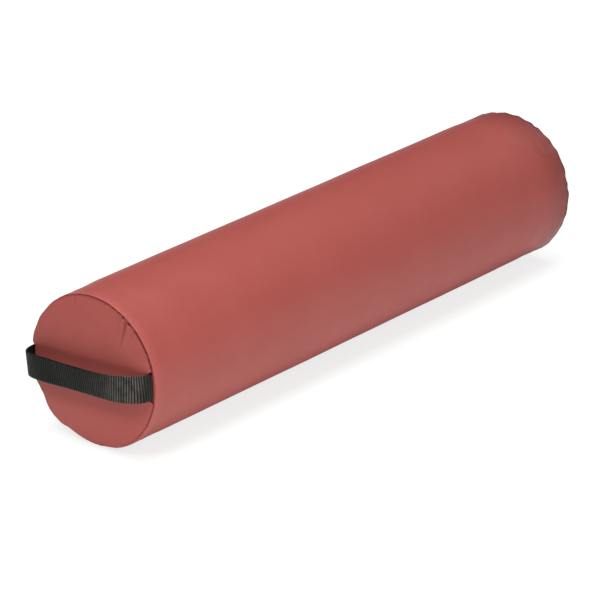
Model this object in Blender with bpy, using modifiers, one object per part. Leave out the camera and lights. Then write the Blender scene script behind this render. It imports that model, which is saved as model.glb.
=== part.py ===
"""Round bolster: a foam cylinder in a sewn cover, with a webbing handle at one end and a zip along the back.

Metres, +Z up. X runs along the bolster, with the handle at -X and the zip at +Y. The origin is on the surface
that the bolster rests on, under the middle of its length.
"""

import math

import bmesh
import bpy
from mathutils import Matrix, Vector

# Driving sizes of the body
LENGTH = 0.6604  # between the folds of the two end seams
DIAMETER = 0.1524  # over the cover, along the tube
FLAT_DEPTH = 0.0005  # how far the tube flattens where it rests
SEAM_DRAW_IN = 0.0029  # of the end seams, in from the tube
SHOULDER_LENGTH = 0.012  # stretch over which the tube is drawn in to a seam
END_CROWN = 0.0015  # swell of an end panel beyond its seam fold
VINYL = 0.001  # thickness of the cover
END_ALLOWANCE = 0.011  # depth of the turned-in edges at the end seams
CLEARANCE = 0.0003  # between pieces that touch

# Driving sizes of the handle
STRAP_WIDTH = 0.0254
STRAP_THICKNESS = 0.0018
STRAP_ROLL = math.radians(-2.6)  # turn of the handle about the bolster's axis, the +Y end down
STRAP_STAND_OFF = 0.0224  # of the loop's middle line, out from the seam fold
STRAP_EXIT_INSET = 0.0007  # of the middle line where it leaves the cover, in from the seam

# Driving sizes of the zip
ZIP_MARGIN = 0.060  # from an end seam to the window in the cover
ZIP_TAPE_WIDTH = 0.0112  # of one tape
ZIP_TAPE_THICKNESS = 0.0005
ZIP_TAPE_OVERRUN = 0.009  # of the tapes past each end of the window
ZIP_SPLIT = 0.0016  # between the two rows of teeth, where the slider's wedge runs
COIL_WIDTH = 0.0024
COIL_HEIGHT = 0.0018
STOP_LENGTH = 0.003
STOP_INSET = 0.004  # from the end of the window to the stop
STOP_WIDTH = 0.0031
HEM_WIDTH = 0.010  # of the turned-in edge beside the zip
SLIDER_LENGTH = 0.011
SLIDER_PLATE = 0.0012
SLIDER_FLANGE = 0.0008
SLIDER_LOWER_PLATE = 0.001
SLIDER_WEDGE_LENGTH = 0.0035
BAIL_LENGTH = 0.0086
BAIL_WIDTH = 0.0014
BAIL_THICKNESS = 0.001
BAIL_CORNER = 0.0011  # inner radius of its two corners
PULL_LENGTH = 0.0255  # from the hinge to the tip
PULL_WIDTH = 0.007
PULL_TIP_WIDTH = 0.0052
PULL_THICKNESS = 0.0012
PULL_BAR_LIFT = 0.0007  # of the pull's bar above the slider
PULL_ARM_WIDTH = 0.0015

# Driving sizes of the sewing
THREAD_RADIUS = 0.00025
TOPSTITCH_INSET = 0.0028  # from the edge of the window to the row of stitches
SIDE_SEAM_START = 0.0022  # from the topstitching to the thread of the plain seam

# Fineness
TURN_STEPS = 52
ARC_STEPS = 3
STRAP_SPAN_STEPS = 3
SHARP_ANGLE = math.radians(35)

# Derived places
RADIUS = DIAMETER / 2
SEAM_RADIUS = RADIUS - SEAM_DRAW_IN
AXIS_HEIGHT = RADIUS - FLAT_DEPTH
HALF_LENGTH = LENGTH / 2
FOLD_RADIUS = VINYL + CLEARANCE / 2
FOLD_CENTRE = SEAM_RADIUS - FOLD_RADIUS
ALLOWANCE_EDGE = SEAM_RADIUS - END_ALLOWANCE
# Depths behind the plane of the seam fold, towards the middle of the bolster
SIDE_ALLOWANCE_FRONT = FOLD_RADIUS + CLEARANCE
SIDE_ALLOWANCE_BACK = SIDE_ALLOWANCE_FRONT + VINYL
CORE_RIM_FACE = SIDE_ALLOWANCE_BACK + CLEARANCE
CROWN_RING = ALLOWANCE_EDGE * 0.55  # a ring of points on the crowned ends
# The handle's ends
STRAP_REACH = SEAM_RADIUS - STRAP_EXIT_INSET
STRAP_BEND = STRAP_THICKNESS / 2 + 2 * CLEARANCE
STRAP_TAIL_DEPTH = (VINYL - FOLD_RADIUS + CORE_RIM_FACE) / 2
# Radii through the zip, from the cover inwards
HEM_INNER = RADIUS - 2 * VINYL
TAPE_OUTER = HEM_INNER - CLEARANCE
TAPE_INNER = TAPE_OUTER - ZIP_TAPE_THICKNESS
COIL_BASE = TAPE_OUTER + CLEARANCE
COIL_TOP = COIL_BASE + COIL_HEIGHT
# Half widths across the zip
COIL_INNER_EDGE = ZIP_SPLIT / 2
COIL_OUTER_EDGE = COIL_INNER_EDGE + COIL_WIDTH
FLANGE_INNER_EDGE = COIL_OUTER_EDGE + CLEARANCE
SLIDER_HALF_WIDTH = FLANGE_INNER_EDGE + SLIDER_FLANGE
WINDOW_HALF_WIDTH = SLIDER_HALF_WIDTH + CLEARANCE
TAPE_OUTER_EDGE = COIL_INNER_EDGE + ZIP_TAPE_WIDTH
HEM_OUTER_EDGE = WINDOW_HALF_WIDTH + HEM_WIDTH
SLIT_HALF_WIDTH = CLEARANCE / 2
# Places along the zip
ZIP_OPENING = LENGTH - 2 * ZIP_MARGIN
HEM_HALF_LENGTH = HALF_LENGTH - SHOULDER_LENGTH - 2 * VINYL
STOP_OUTER_END = ZIP_OPENING / 2 - STOP_INSET
STOP_INNER_END = STOP_OUTER_END - STOP_LENGTH
COIL_END = STOP_INNER_END - CLEARANCE
TAPE_END = ZIP_OPENING / 2 + ZIP_TAPE_OVERRUN
SLIDER_START = -COIL_END
SLIDER_CENTRE = SLIDER_START + SLIDER_LENGTH / 2
# Heights of the slider, out from the bolster's axis
SLIDER_UNDERSIDE = COIL_TOP + CLEARANCE
SLIDER_TOP = SLIDER_UNDERSIDE + SLIDER_PLATE
TAPE_DROP = TAPE_INNER - math.sqrt(TAPE_INNER**2 - SLIDER_HALF_WIDTH**2)
LOWER_PLATE_TOP = TAPE_INNER - TAPE_DROP - CLEARANCE
LOWER_PLATE_BASE = LOWER_PLATE_TOP - SLIDER_LOWER_PLATE
PULL_HINGE = SLIDER_TOP + PULL_BAR_LIFT + PULL_THICKNESS / 2
BAIL_INNER_TOP = PULL_HINGE + PULL_THICKNESS / 2 + CLEARANCE
PULL_EYE_HALF_WIDTH = BAIL_WIDTH / 2 + CLEARANCE
PULL_EYE_END = BAIL_LENGTH / 2 + 3 * CLEARANCE
PULL_DROP = PULL_HINGE - PULL_THICKNESS / 2 - COIL_TOP - CLEARANCE
PULL_TILT = math.asin(PULL_DROP / PULL_LENGTH)
# Sewing
GROOVE_RADIUS = THREAD_RADIUS + CLEARANCE
THREAD_LINE = RADIUS - THREAD_RADIUS
TOPSTITCH_SIDE = WINDOW_HALF_WIDTH + TOPSTITCH_INSET
TOPSTITCH_END = ZIP_OPENING / 2 + TOPSTITCH_INSET

# Colours
VINYL_RED = (0.445, 0.107, 0.098, 1.0)
WEBBING_BLACK = (0.017, 0.018, 0.014, 1.0)
FOAM_CREAM = (0.82, 0.78, 0.62, 1.0)
THREAD_RED = (0.28, 0.05, 0.045, 1.0)
ZIP_RED = (0.33, 0.07, 0.06, 1.0)
SLIDER_METAL = (0.32, 0.31, 0.30, 1.0)

# Turns an outline to lie across the bolster: its own X becomes world Y, its Y becomes Z and it thickens along X
ACROSS = Matrix(((0, 0, 1, 0), (1, 0, 0, 0), (0, 1, 0, AXIS_HEIGHT), (0, 0, 0, 1)))


def clear_scene():
    for obj in list(bpy.data.objects):
        bpy.data.objects.remove(obj, do_unlink=True)


def new_collection(name):
    collection = bpy.data.collections.new(name)
    bpy.context.scene.collection.children.link(collection)
    return collection


def new_material(name, colour, roughness, metallic=0.0):
    material = bpy.data.materials.new(name)
    material.use_nodes = True
    shader = material.node_tree.nodes["Principled BSDF"]
    shader.inputs["Base Color"].default_value = colour
    shader.inputs["Roughness"].default_value = roughness
    shader.inputs["Metallic"].default_value = metallic
    material.diffuse_color = colour
    return material


def add_object(name, data, collection):
    obj = bpy.data.objects.new(name, data)
    collection.objects.link(obj)
    return obj


def as_mesh(curve_object):
    """The curve object made a mesh object, with its caps welded to its sides."""
    graph = bpy.context.evaluated_depsgraph_get()
    mesh = bpy.data.meshes.new_from_object(curve_object.evaluated_get(graph))
    shape = bmesh.new()
    shape.from_mesh(mesh)
    bmesh.ops.remove_doubles(shape, verts=shape.verts, dist=1e-6)
    bmesh.ops.recalc_face_normals(shape, faces=shape.faces)
    shape.to_mesh(mesh)
    shape.free()
    name, collection = curve_object.name, curve_object.users_collection[0]
    matrix = curve_object.matrix_world.copy()
    bpy.data.objects.remove(curve_object, do_unlink=True)
    obj = add_object(name, mesh, collection)
    obj.matrix_world = matrix
    return obj


def flat_piece(name, outlines, thickness, collection, matrix):
    """A flat piece from closed outlines, the later ones being holes, thickened both ways about their plane."""
    curve = bpy.data.curves.new(name, "CURVE")
    curve.dimensions = "2D"
    curve.fill_mode = "BOTH"
    curve.extrude = thickness / 2
    for outline in outlines:
        spline = curve.splines.new("POLY")
        spline.points.add(len(outline) - 1)
        for point, (across, along) in zip(spline.points, outline):
            point.co = (across, along, 0, 1)
        spline.use_cyclic_u = True
    obj = add_object(name, curve, collection)
    obj.matrix_world = matrix
    bpy.context.view_layer.update()
    return as_mesh(obj)


def thread(name, points, radius, closed, collection):
    """A round thread, or the groove for one, along world points."""
    curve = bpy.data.curves.new(name, "CURVE")
    curve.dimensions = "3D"
    curve.bevel_depth = radius
    curve.bevel_resolution = 1
    curve.use_fill_caps = not closed
    spline = curve.splines.new("POLY")
    spline.points.add(len(points) - 1)
    for point, place in zip(spline.points, points):
        point.co = (*place, 1)
    spline.use_cyclic_u = closed
    obj = add_object(name, curve, collection)
    bpy.context.view_layer.update()
    return as_mesh(obj)


def block(name, low, high, collection):
    """A box between two world corners."""
    shape = bmesh.new()
    bmesh.ops.create_cube(shape, size=1.0)
    mesh = bpy.data.meshes.new(name)
    low, high = Vector(low), Vector(high)
    bmesh.ops.scale(shape, vec=high - low, verts=shape.verts)
    bmesh.ops.translate(shape, vec=(low + high) / 2, verts=shape.verts)
    shape.to_mesh(mesh)
    shape.free()
    return add_object(name, mesh, collection)


def turned(name, profile, closed, collection):
    """A shape turned about the bolster's axis from (X, radius) points that run from -X to +X on the outside."""
    mesh = bpy.data.meshes.new(name)
    points = [(radius, 0, along) for along, radius in reversed(profile)]
    edges = [(i, i + 1) for i in range(len(points) - 1)]
    if closed:
        edges.append((len(points) - 1, 0))
    mesh.from_pydata(points, edges, [])
    obj = add_object(name, mesh, collection)
    screw = obj.modifiers.new("Turn", "SCREW")
    screw.axis = "Z"
    screw.angle = 2 * math.pi
    screw.steps = screw.render_steps = TURN_STEPS
    screw.use_merge_vertices = True
    screw.merge_threshold = 1e-6
    screw.use_smooth_shade = True
    obj.rotation_euler = (0, math.pi / 2, 0)
    obj.location = (0, 0, AXIS_HEIGHT)
    return obj


def combine(obj, other, operation):
    modifier = obj.modifiers.new(f"{operation.title()} {other.name}", "BOOLEAN")
    modifier.operation = operation
    modifier.object = other
    other.hide_render = True
    other.display_type = "WIRE"


def settle(obj):
    """Applies the piece's modifiers and shades it smooth up to its sharp edges."""
    graph = bpy.context.evaluated_depsgraph_get()
    obj.data = bpy.data.meshes.new_from_object(obj.evaluated_get(graph))
    obj.modifiers.clear()
    obj.data.shade_smooth()
    obj.data.set_sharp_from_angle(angle=SHARP_ANGLE)


def move_origin(obj, place):
    """Puts the object's origin at a world point and leaves its shape where it is."""
    obj.data.transform(Matrix.Translation(-Vector(place)) @ obj.matrix_world)
    obj.matrix_world = Matrix.Translation(place)


def dress(obj, material):
    obj.data.materials.clear()
    obj.data.materials.append(material)


def mirrored(profile):
    """The same (X, radius) points at the other end of the bolster, still running from -X to +X."""
    return [(-along, radius) for along, radius in reversed(profile)]


def crown(radius):
    """How far an end panel swells at this radius."""
    return END_CROWN * (1 - (radius / FOLD_CENTRE) ** 2)


def shoulder(inset, turns):
    """(X, radius) points of the drawn-in end of the tube, from the seam outwards, `inset` below its outside."""
    along = SHOULDER_LENGTH - SIDE_ALLOWANCE_FRONT - inset
    up = RADIUS - SEAM_RADIUS - inset
    start = -HALF_LENGTH + SHOULDER_LENGTH
    return [(start - along * math.sin(turn), SEAM_RADIUS + up * math.cos(turn)) for turn in turns]


def degrees(*angles):
    return [math.radians(angle) for angle in angles]


def sector(inner, outer, near_edge, far_edge):
    """Outline, as (Y, Z above the axis), of a strip that follows the tube between two radii and two edges."""

    def arc(radius, first, last):
        turns = [math.asin(edge / radius) for edge in (first, last)]
        step = (turns[1] - turns[0]) / ARC_STEPS
        angles = [turns[0] + step * i for i in range(ARC_STEPS + 1)]
        return [(radius * math.cos(angle), radius * math.sin(angle)) for angle in angles]

    return arc(outer, near_edge, far_edge) + arc(inner, far_edge, near_edge)


def along_zip(name, outline, start, end, collection):
    """A strip with this section across the zip, from one X to another."""
    matrix = Matrix.Translation(((start + end) / 2, 0, 0)) @ ACROSS
    return flat_piece(name, [outline], end - start, collection, matrix)


def zip_block(name, x_range, out_range, across_range, collection):
    """A box from ranges along X, out from the bolster's axis, and across the zip."""
    low = (x_range[0], out_range[0], AXIS_HEIGHT + across_range[0])
    high = (x_range[1], out_range[1], AXIS_HEIGHT + across_range[1])
    return block(name, low, high, collection)


def both_sides(side, near_edge, far_edge):
    """The range across the zip on its upper side (1) or its lower side (-1)."""
    return sorted((side * near_edge, side * far_edge))


def strap_path():
    """Plan points (X, Y) of the handle's middle line. Its tails are cut level with the seam allowances."""
    # The loop from its +Y end to its -Y end, as (share of the reach to an end, share of the stand-off)
    plan = (
        (0.993, 0.27),
        (0.964, 0.54),
        (0.893, 0.75),
        (0.72, 0.87),
        (0.42, 0.92),
        (0.0, 0.97),
        (-0.43, 1.0),
        (-0.675, 0.90),
        (-0.87, 0.61),
        (-0.964, 0.28),
    )
    bend_start = STRAP_REACH - STRAP_BEND
    tail = [(ALLOWANCE_EDGE, -STRAP_TAIL_DEPTH)]
    for turn in degrees(0, 30, 60, 90):
        reach = STRAP_BEND * math.sin(turn)
        rise = STRAP_BEND * (1 - math.cos(turn))
        tail.append((bend_start + reach, rise - STRAP_TAIL_DEPTH))
    loop = [(across * STRAP_REACH, out * STRAP_STAND_OFF) for across, out in plan]
    points = tail + loop + [(-across, out) for across, out in reversed(tail)]
    first, last = len(tail) - 1, len(points) - len(tail)
    smooth = points[:first]
    for i in range(first, last):
        smooth += curve_span(points[i - 1], points[i], points[i + 1], points[i + 2])
    smooth += points[last:]
    return [Vector((-HALF_LENGTH - out, across)) for across, out in smooth]


def curve_span(before, start, end, after):
    """Points of a smooth curve from start up to, but not including, end."""
    found = []
    for i in range(STRAP_SPAN_STEPS):
        t = i / STRAP_SPAN_STEPS
        weights = (
            -0.5 * t + t**2 - 0.5 * t**3,
            1 - 2.5 * t**2 + 1.5 * t**3,
            0.5 * t + 2 * t**2 - 1.5 * t**3,
            -0.5 * t**2 + 0.5 * t**3,
        )
        corners = (before, start, end, after)
        found.append(tuple(sum(w * c[k] for w, c in zip(weights, corners)) for k in (0, 1)))
    return found


def strap_outline(margin):
    """The handle's outline in plan, `margin` larger all round than the webbing."""
    path = strap_path()
    left, right = [], []
    for i, point in enumerate(path):
        run = (path[min(i + 1, len(path) - 1)] - path[max(i - 1, 0)]).normalized()
        side = Vector((-run.y, run.x)) * (STRAP_THICKNESS / 2 + margin)
        end = run * margin * ((i == len(path) - 1) - (i == 0))
        left.append(tuple(point + side + end))
        right.append(tuple(point - side + end))
    return left + right[::-1]


def strap_piece(name, margin, collection):
    matrix = Matrix.Translation((0, 0, AXIS_HEIGHT)) @ Matrix.Rotation(STRAP_ROLL, 4, "X")
    return flat_piece(name, [strap_outline(margin)], STRAP_WIDTH + 2 * margin, collection, matrix)


def foam_core(parts, tools):
    half = [
        (-HALF_LENGTH + VINYL - FOLD_RADIUS + CLEARANCE - crown(radius), radius)
        for radius in (0, CROWN_RING, ALLOWANCE_EDGE - 2 * CLEARANCE)
    ]
    half.append((-HALF_LENGTH + CORE_RIM_FACE, ALLOWANCE_EDGE - 2 * CLEARANCE))
    half.append((-HALF_LENGTH + CORE_RIM_FACE, SEAM_RADIUS))
    half += shoulder(VINYL + CLEARANCE, degrees(45, 0))
    obj = turned("foam_core", half + mirrored(half), False, parts)
    channel = sector(
        TAPE_INNER - CLEARANCE, RADIUS, -HEM_OUTER_EDGE - CLEARANCE, HEM_OUTER_EDGE + CLEARANCE
    )
    end = HEM_HALF_LENGTH + CLEARANCE
    combine(obj, along_zip("hem_channel", channel, -end, end, tools), "DIFFERENCE")
    slider_channel = zip_block(
        "slider_channel",
        (-STOP_INNER_END, STOP_INNER_END),
        (LOWER_PLATE_BASE - CLEARANCE, RADIUS),
        both_sides(1, -WINDOW_HALF_WIDTH, WINDOW_HALF_WIDTH),
        tools,
    )
    combine(obj, slider_channel, "DIFFERENCE")
    dress(obj, new_material("Foam", FOAM_CREAM, 0.95))


def side_panel(parts, tools, strap_slot):
    outside = shoulder(0, degrees(90, 75, 50, 25, 0))
    inside = shoulder(VINYL, degrees(90, 45, 0))
    tip = [
        (-HALF_LENGTH + SIDE_ALLOWANCE_BACK, ALLOWANCE_EDGE),
        (-HALF_LENGTH + SIDE_ALLOWANCE_FRONT, ALLOWANCE_EDGE),
    ]
    half = inside[::-1] + tip + outside
    obj = turned("side_panel", half + mirrored(half), True, parts)
    for side, word in ((1, "upper"), (-1, "lower")):
        edges = both_sides(side, SLIT_HALF_WIDTH, HEM_OUTER_EDGE)
        hem = sector(HEM_INNER, RADIUS - VINYL / 2, *edges)
        combine(obj, along_zip(f"{word}_hem", hem, -HEM_HALF_LENGTH, HEM_HALF_LENGTH, tools), "UNION")
    through = (ALLOWANCE_EDGE - VINYL, RADIUS + VINYL)
    slit = zip_block(
        "side_slit",
        (-HALF_LENGTH, HALF_LENGTH),
        through,
        (-SLIT_HALF_WIDTH, SLIT_HALF_WIDTH),
        tools,
    )
    window = zip_block(
        "zip_window",
        (-ZIP_OPENING / 2, ZIP_OPENING / 2),
        through,
        (-WINDOW_HALF_WIDTH, WINDOW_HALF_WIDTH),
        tools,
    )
    floor = block("floor_cut", (-LENGTH, -RADIUS, -RADIUS), (LENGTH, RADIUS, 0), tools)
    grooves = [
        thread("topstitch_groove", topstitch_points(), GROOVE_RADIUS, True, tools),
        thread("near_side_groove", side_seam_points(-1, CLEARANCE), GROOVE_RADIUS, False, tools),
        thread("far_side_groove", side_seam_points(1, CLEARANCE), GROOVE_RADIUS, False, tools),
    ]
    for cutter in (slit, window, floor, strap_slot, *grooves):
        combine(obj, cutter, "DIFFERENCE")
    dress(obj, new_material("Side vinyl", VINYL_RED, 0.42))


def end_panel(name, near, parts, strap_slot):
    crowned = (0, CROWN_RING, ALLOWANCE_EDGE)
    outside = [(-FOLD_RADIUS - crown(radius), radius) for radius in crowned]
    inside = [(VINYL - FOLD_RADIUS - crown(radius), radius) for radius in crowned]
    fold = [
        (-FOLD_RADIUS * math.cos(turn), FOLD_CENTRE + FOLD_RADIUS * math.sin(turn))
        for turn in degrees(0, 45, 90, 135, 180)
    ]
    turned_in = [
        (FOLD_RADIUS, ALLOWANCE_EDGE),
        (FOLD_RADIUS - VINYL, ALLOWANCE_EDGE),
        (FOLD_RADIUS - VINYL, FOLD_CENTRE),
        (VINYL - FOLD_RADIUS, FOLD_CENTRE),
    ]
    profile = outside + fold + turned_in + inside[::-1]
    placed = [(depth - HALF_LENGTH, radius) for depth, radius in profile]
    obj = turned(name, placed if near else mirrored(placed), False, parts)
    if near:
        combine(obj, strap_slot, "DIFFERENCE")
    dress(obj, new_material(f"{name} vinyl", VINYL_RED, 0.42))


def seam_ring(first, last, steps, end):
    """World points round an end seam, in the groove between the fold and the side panel."""
    depth = SIDE_ALLOWANCE_FRONT - THREAD_RADIUS - CLEARANCE * 0.85
    reach = FOLD_RADIUS + CLEARANCE + THREAD_RADIUS
    radius = FOLD_CENTRE + math.sqrt(reach**2 - depth**2)
    along = end * (HALF_LENGTH - depth)
    points = []
    for i in range(steps + 1):
        turn = first + (last - first) * i / steps
        points.append((along, radius * math.cos(turn), AXIS_HEIGHT + radius * math.sin(turn)))
    return points


def end_seam_threads(parts, thread_material):
    """The far seam's thread is a whole ring, and the near one's stops each side of the handle."""
    step = 2 * math.pi / TURN_STEPS
    ring = seam_ring(0, 2 * math.pi, TURN_STEPS, 1)[:-1]
    dress(thread("seam_thread_far", ring, THREAD_RADIUS, True, parts), thread_material)
    half_strap = math.asin((STRAP_WIDTH / 2 + CLEARANCE + THREAD_RADIUS) / SEAM_RADIUS)
    first = math.ceil((half_strap + abs(STRAP_ROLL)) / step) * step
    steps = round((math.pi - 2 * first) / step)
    upper = seam_ring(first, math.pi - first, steps, -1)
    lower = seam_ring(math.pi + first, 2 * math.pi - first, steps, -1)
    dress(thread("seam_thread_near_upper", upper, THREAD_RADIUS, False, parts), thread_material)
    dress(thread("seam_thread_near_lower", lower, THREAD_RADIUS, False, parts), thread_material)


def topstitch_points():
    """World points of the row of stitches round the zip."""
    turn = math.asin(TOPSTITCH_SIDE / THREAD_LINE)
    turns = [turn * (2 * i / ARC_STEPS - 1) for i in range(ARC_STEPS + 1)]
    ends = [(-TOPSTITCH_END, turns), (TOPSTITCH_END, turns[::-1])]
    return [
        (along, THREAD_LINE * math.cos(angle), AXIS_HEIGHT + THREAD_LINE * math.sin(angle))
        for along, angles in ends
        for angle in angles
    ]


def side_seam_points(end, margin):
    """World points of the thread in one plain end of the lengthwise seam."""
    start = TOPSTITCH_END + SIDE_SEAM_START - margin
    stop = HALF_LENGTH - SHOULDER_LENGTH + margin
    return [(end * along, THREAD_LINE, AXIS_HEIGHT) for along in (start, stop)]


def zip_tapes_and_teeth(parts):
    tape_material = new_material("Zip tape", ZIP_RED, 0.9)
    coil_material = new_material("Zip coil", ZIP_RED, 0.4)
    stop_material = new_material("Zip stop", SLIDER_METAL, 0.35, 1.0)
    for side, word in ((1, "upper"), (-1, "lower")):
        edges = both_sides(side, COIL_INNER_EDGE, TAPE_OUTER_EDGE)
        tape = sector(TAPE_INNER, TAPE_OUTER, *edges)
        dress(along_zip(f"zip_tape_{word}", tape, -TAPE_END, TAPE_END, parts), tape_material)
        coil = zip_block(
            f"zip_coil_{word}",
            (-COIL_END, COIL_END),
            (COIL_BASE, COIL_TOP),
            both_sides(side, COIL_INNER_EDGE, COIL_OUTER_EDGE),
            parts,
        )
        dress(coil, coil_material)
        stop = zip_block(
            f"zip_top_stop_{word}",
            (-STOP_OUTER_END, -STOP_INNER_END),
            (COIL_BASE, COIL_TOP),
            both_sides(side, COIL_INNER_EDGE, COIL_INNER_EDGE + STOP_WIDTH),
            parts,
        )
        dress(stop, stop_material)
    bottom = zip_block(
        "zip_bottom_stop",
        (STOP_INNER_END, STOP_OUTER_END),
        (COIL_BASE, COIL_TOP),
        (-COIL_INNER_EDGE - STOP_WIDTH, COIL_INNER_EDGE + STOP_WIDTH),
        parts,
    )
    dress(bottom, stop_material)


def bail_outline():
    """The loop over the slider, from the side: (X from the slider's middle, out from the bolster's axis)."""
    foot = SLIDER_TOP - SLIDER_PLATE / 2
    outer_corner = BAIL_CORNER + BAIL_THICKNESS
    arches = []
    for inset, corner in ((0, outer_corner), (BAIL_THICKNESS, BAIL_CORNER)):
        half = BAIL_LENGTH / 2 - inset
        top = BAIL_INNER_TOP + BAIL_THICKNESS - inset
        arch = [(-half, foot)]
        for turn in degrees(0, 45, 90):
            arch.append((corner * (1 - math.cos(turn)) - half, top - corner * (1 - math.sin(turn))))
        arches.append(arch + [(-x, y) for x, y in reversed(arch)])
    return arches[0] + arches[1][::-1]


def zip_slider(parts, tools):
    """The slider, closed against the top stops: it slides along X on the two rows of teeth."""
    half = SLIDER_HALF_WIDTH
    flange_foot = COIL_BASE
    section = [
        (SLIDER_TOP, -half),
        (SLIDER_TOP, half),
        (flange_foot, half),
        (flange_foot, FLANGE_INNER_EDGE),
        (SLIDER_UNDERSIDE, FLANGE_INNER_EDGE),
        (SLIDER_UNDERSIDE, -FLANGE_INNER_EDGE),
        (flange_foot, -FLANGE_INNER_EDGE),
        (flange_foot, -half),
    ]
    end = SLIDER_START + SLIDER_LENGTH
    obj = along_zip("zip_slider", section, SLIDER_START, end, parts)
    lower = zip_block(
        "slider_lower_plate", (SLIDER_START, end), (LOWER_PLATE_BASE, LOWER_PLATE_TOP), (-half, half), tools
    )
    wedge_half = COIL_INNER_EDGE - CLEARANCE
    wedge = zip_block(
        "slider_wedge",
        (SLIDER_START + CLEARANCE, SLIDER_START + CLEARANCE + SLIDER_WEDGE_LENGTH),
        (LOWER_PLATE_TOP - SLIDER_LOWER_PLATE / 2, SLIDER_UNDERSIDE + SLIDER_PLATE / 2),
        (-wedge_half, wedge_half),
        tools,
    )
    place = Matrix.Translation((SLIDER_CENTRE, 0, AXIS_HEIGHT))
    bail = flat_piece("slider_bail", [bail_outline()], BAIL_WIDTH, tools, place)
    for part in (wedge, lower, bail):
        combine(obj, part, "UNION")
    move_origin(obj, (SLIDER_CENTRE, COIL_TOP, AXIS_HEIGHT))
    dress(obj, new_material("Zip slider", SLIDER_METAL, 0.35, 1.0))


def zip_pull(parts):
    """A flat tab with an eye, whose end bar turns under the slider's bail."""
    bar = PULL_THICKNESS / 2
    eye_half = PULL_EYE_HALF_WIDTH
    arm_half = eye_half + PULL_ARM_WIDTH
    waist = PULL_EYE_END + PULL_ARM_WIDTH
    tip = PULL_TIP_WIDTH / 2
    side = [(-bar, arm_half), (PULL_EYE_END, arm_half), (waist, PULL_WIDTH / 2), (PULL_LENGTH - tip, tip)]
    nose = [
        (PULL_LENGTH - tip + tip * math.sin(turn), tip * math.cos(turn)) for turn in degrees(30, 60, 90)
    ]
    outline = side + nose + [(x, -y) for x, y in reversed(side + nose[:-1])]
    eye = [(bar, -eye_half), (bar, eye_half), (PULL_EYE_END, eye_half), (PULL_EYE_END, -eye_half)]
    place = Matrix.Translation((SLIDER_CENTRE, PULL_HINGE, AXIS_HEIGHT))
    turn = Matrix.Rotation(-PULL_TILT, 4, "Z") @ Matrix.Rotation(math.pi / 2, 4, "X")
    obj = flat_piece("zip_pull", [outline, eye], PULL_THICKNESS, parts, place @ turn)
    dress(obj, new_material("Zip pull", SLIDER_METAL, 0.35, 1.0))


def main():
    clear_scene()
    parts = new_collection("Round bolster")
    tools = new_collection("Cutters")
    thread_material = new_material("Thread", THREAD_RED, 0.7)
    strap_slot = strap_piece("strap_slot", CLEARANCE, tools)
    foam_core(parts, tools)
    side_panel(parts, tools, strap_slot)
    end_panel("end_panel_near", True, parts, strap_slot)
    end_panel("end_panel_far", False, parts, strap_slot)
    end_seam_threads(parts, thread_material)
    dress(strap_piece("handle_strap", 0, parts), new_material("Webbing", WEBBING_BLACK, 0.85))
    zip_tapes_and_teeth(parts)
    zip_slider(parts, tools)
    zip_pull(parts)
    dress(thread("zip_topstitch", topstitch_points(), THREAD_RADIUS, True, parts), thread_material)
    for end, word in ((-1, "near"), (1, "far")):
        line = thread(f"side_seam_thread_{word}", side_seam_points(end, 0), THREAD_RADIUS, False, parts)
        dress(line, thread_material)
    bpy.context.view_layer.update()
    for obj in parts.objects:
        settle(obj)


main()
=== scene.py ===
"""Looks of the round bolster: a sewn vinyl cover over foam, a ribbed webbing handle and a coil zip.

Metres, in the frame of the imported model. X runs along the bolster, the handle is at -X and the zip at +Y.
A turn is an angle about the bolster's axis, from +Y towards +Z.
"""

import math
import random

import bmesh
import bpy
from mathutils import Matrix, Vector, kdtree, noise


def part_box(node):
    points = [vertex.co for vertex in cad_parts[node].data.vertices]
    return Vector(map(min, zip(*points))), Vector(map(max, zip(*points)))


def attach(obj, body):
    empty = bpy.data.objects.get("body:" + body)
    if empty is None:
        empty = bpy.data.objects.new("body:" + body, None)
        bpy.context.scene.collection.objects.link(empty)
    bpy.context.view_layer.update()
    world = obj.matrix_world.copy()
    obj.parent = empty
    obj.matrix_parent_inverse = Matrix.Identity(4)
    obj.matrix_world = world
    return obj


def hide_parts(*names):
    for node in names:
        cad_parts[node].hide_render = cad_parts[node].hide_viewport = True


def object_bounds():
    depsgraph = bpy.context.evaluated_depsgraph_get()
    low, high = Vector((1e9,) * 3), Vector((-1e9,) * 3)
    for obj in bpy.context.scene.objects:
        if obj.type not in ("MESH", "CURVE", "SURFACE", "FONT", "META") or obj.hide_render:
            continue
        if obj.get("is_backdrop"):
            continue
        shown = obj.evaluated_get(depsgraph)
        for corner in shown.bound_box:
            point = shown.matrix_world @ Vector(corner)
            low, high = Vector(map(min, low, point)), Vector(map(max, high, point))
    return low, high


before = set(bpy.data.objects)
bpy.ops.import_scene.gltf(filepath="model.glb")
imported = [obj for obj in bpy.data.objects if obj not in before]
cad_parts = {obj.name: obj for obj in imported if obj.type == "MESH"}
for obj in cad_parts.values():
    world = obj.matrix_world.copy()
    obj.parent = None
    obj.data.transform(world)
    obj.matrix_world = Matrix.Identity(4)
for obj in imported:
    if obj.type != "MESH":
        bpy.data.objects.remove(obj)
cad_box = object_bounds()

MM = 0.001

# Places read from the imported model
tube_low, tube_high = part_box("side_panel")
near_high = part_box("end_panel_near")[1]
slider_low, slider_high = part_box("zip_slider")
coil_low, coil_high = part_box("zip_coil_upper")
stop_low, stop_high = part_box("zip_bottom_stop")
tape_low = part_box("zip_tape_upper")[0]
TUBE_RADIUS = -tube_low.y
WHOLE_ARC = 2 * math.pi * TUBE_RADIUS
AXIS_HEIGHT = tube_high.z - TUBE_RADIUS
SEAM_RADIUS = near_high.y
SIDE_END = tube_high.x
SLIDER_HALF = slider_high.z - AXIS_HEIGHT
FOLD_RADIUS = 1.15 * MM
SEAM_X = FOLD_RADIUS - near_high.x

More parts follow.
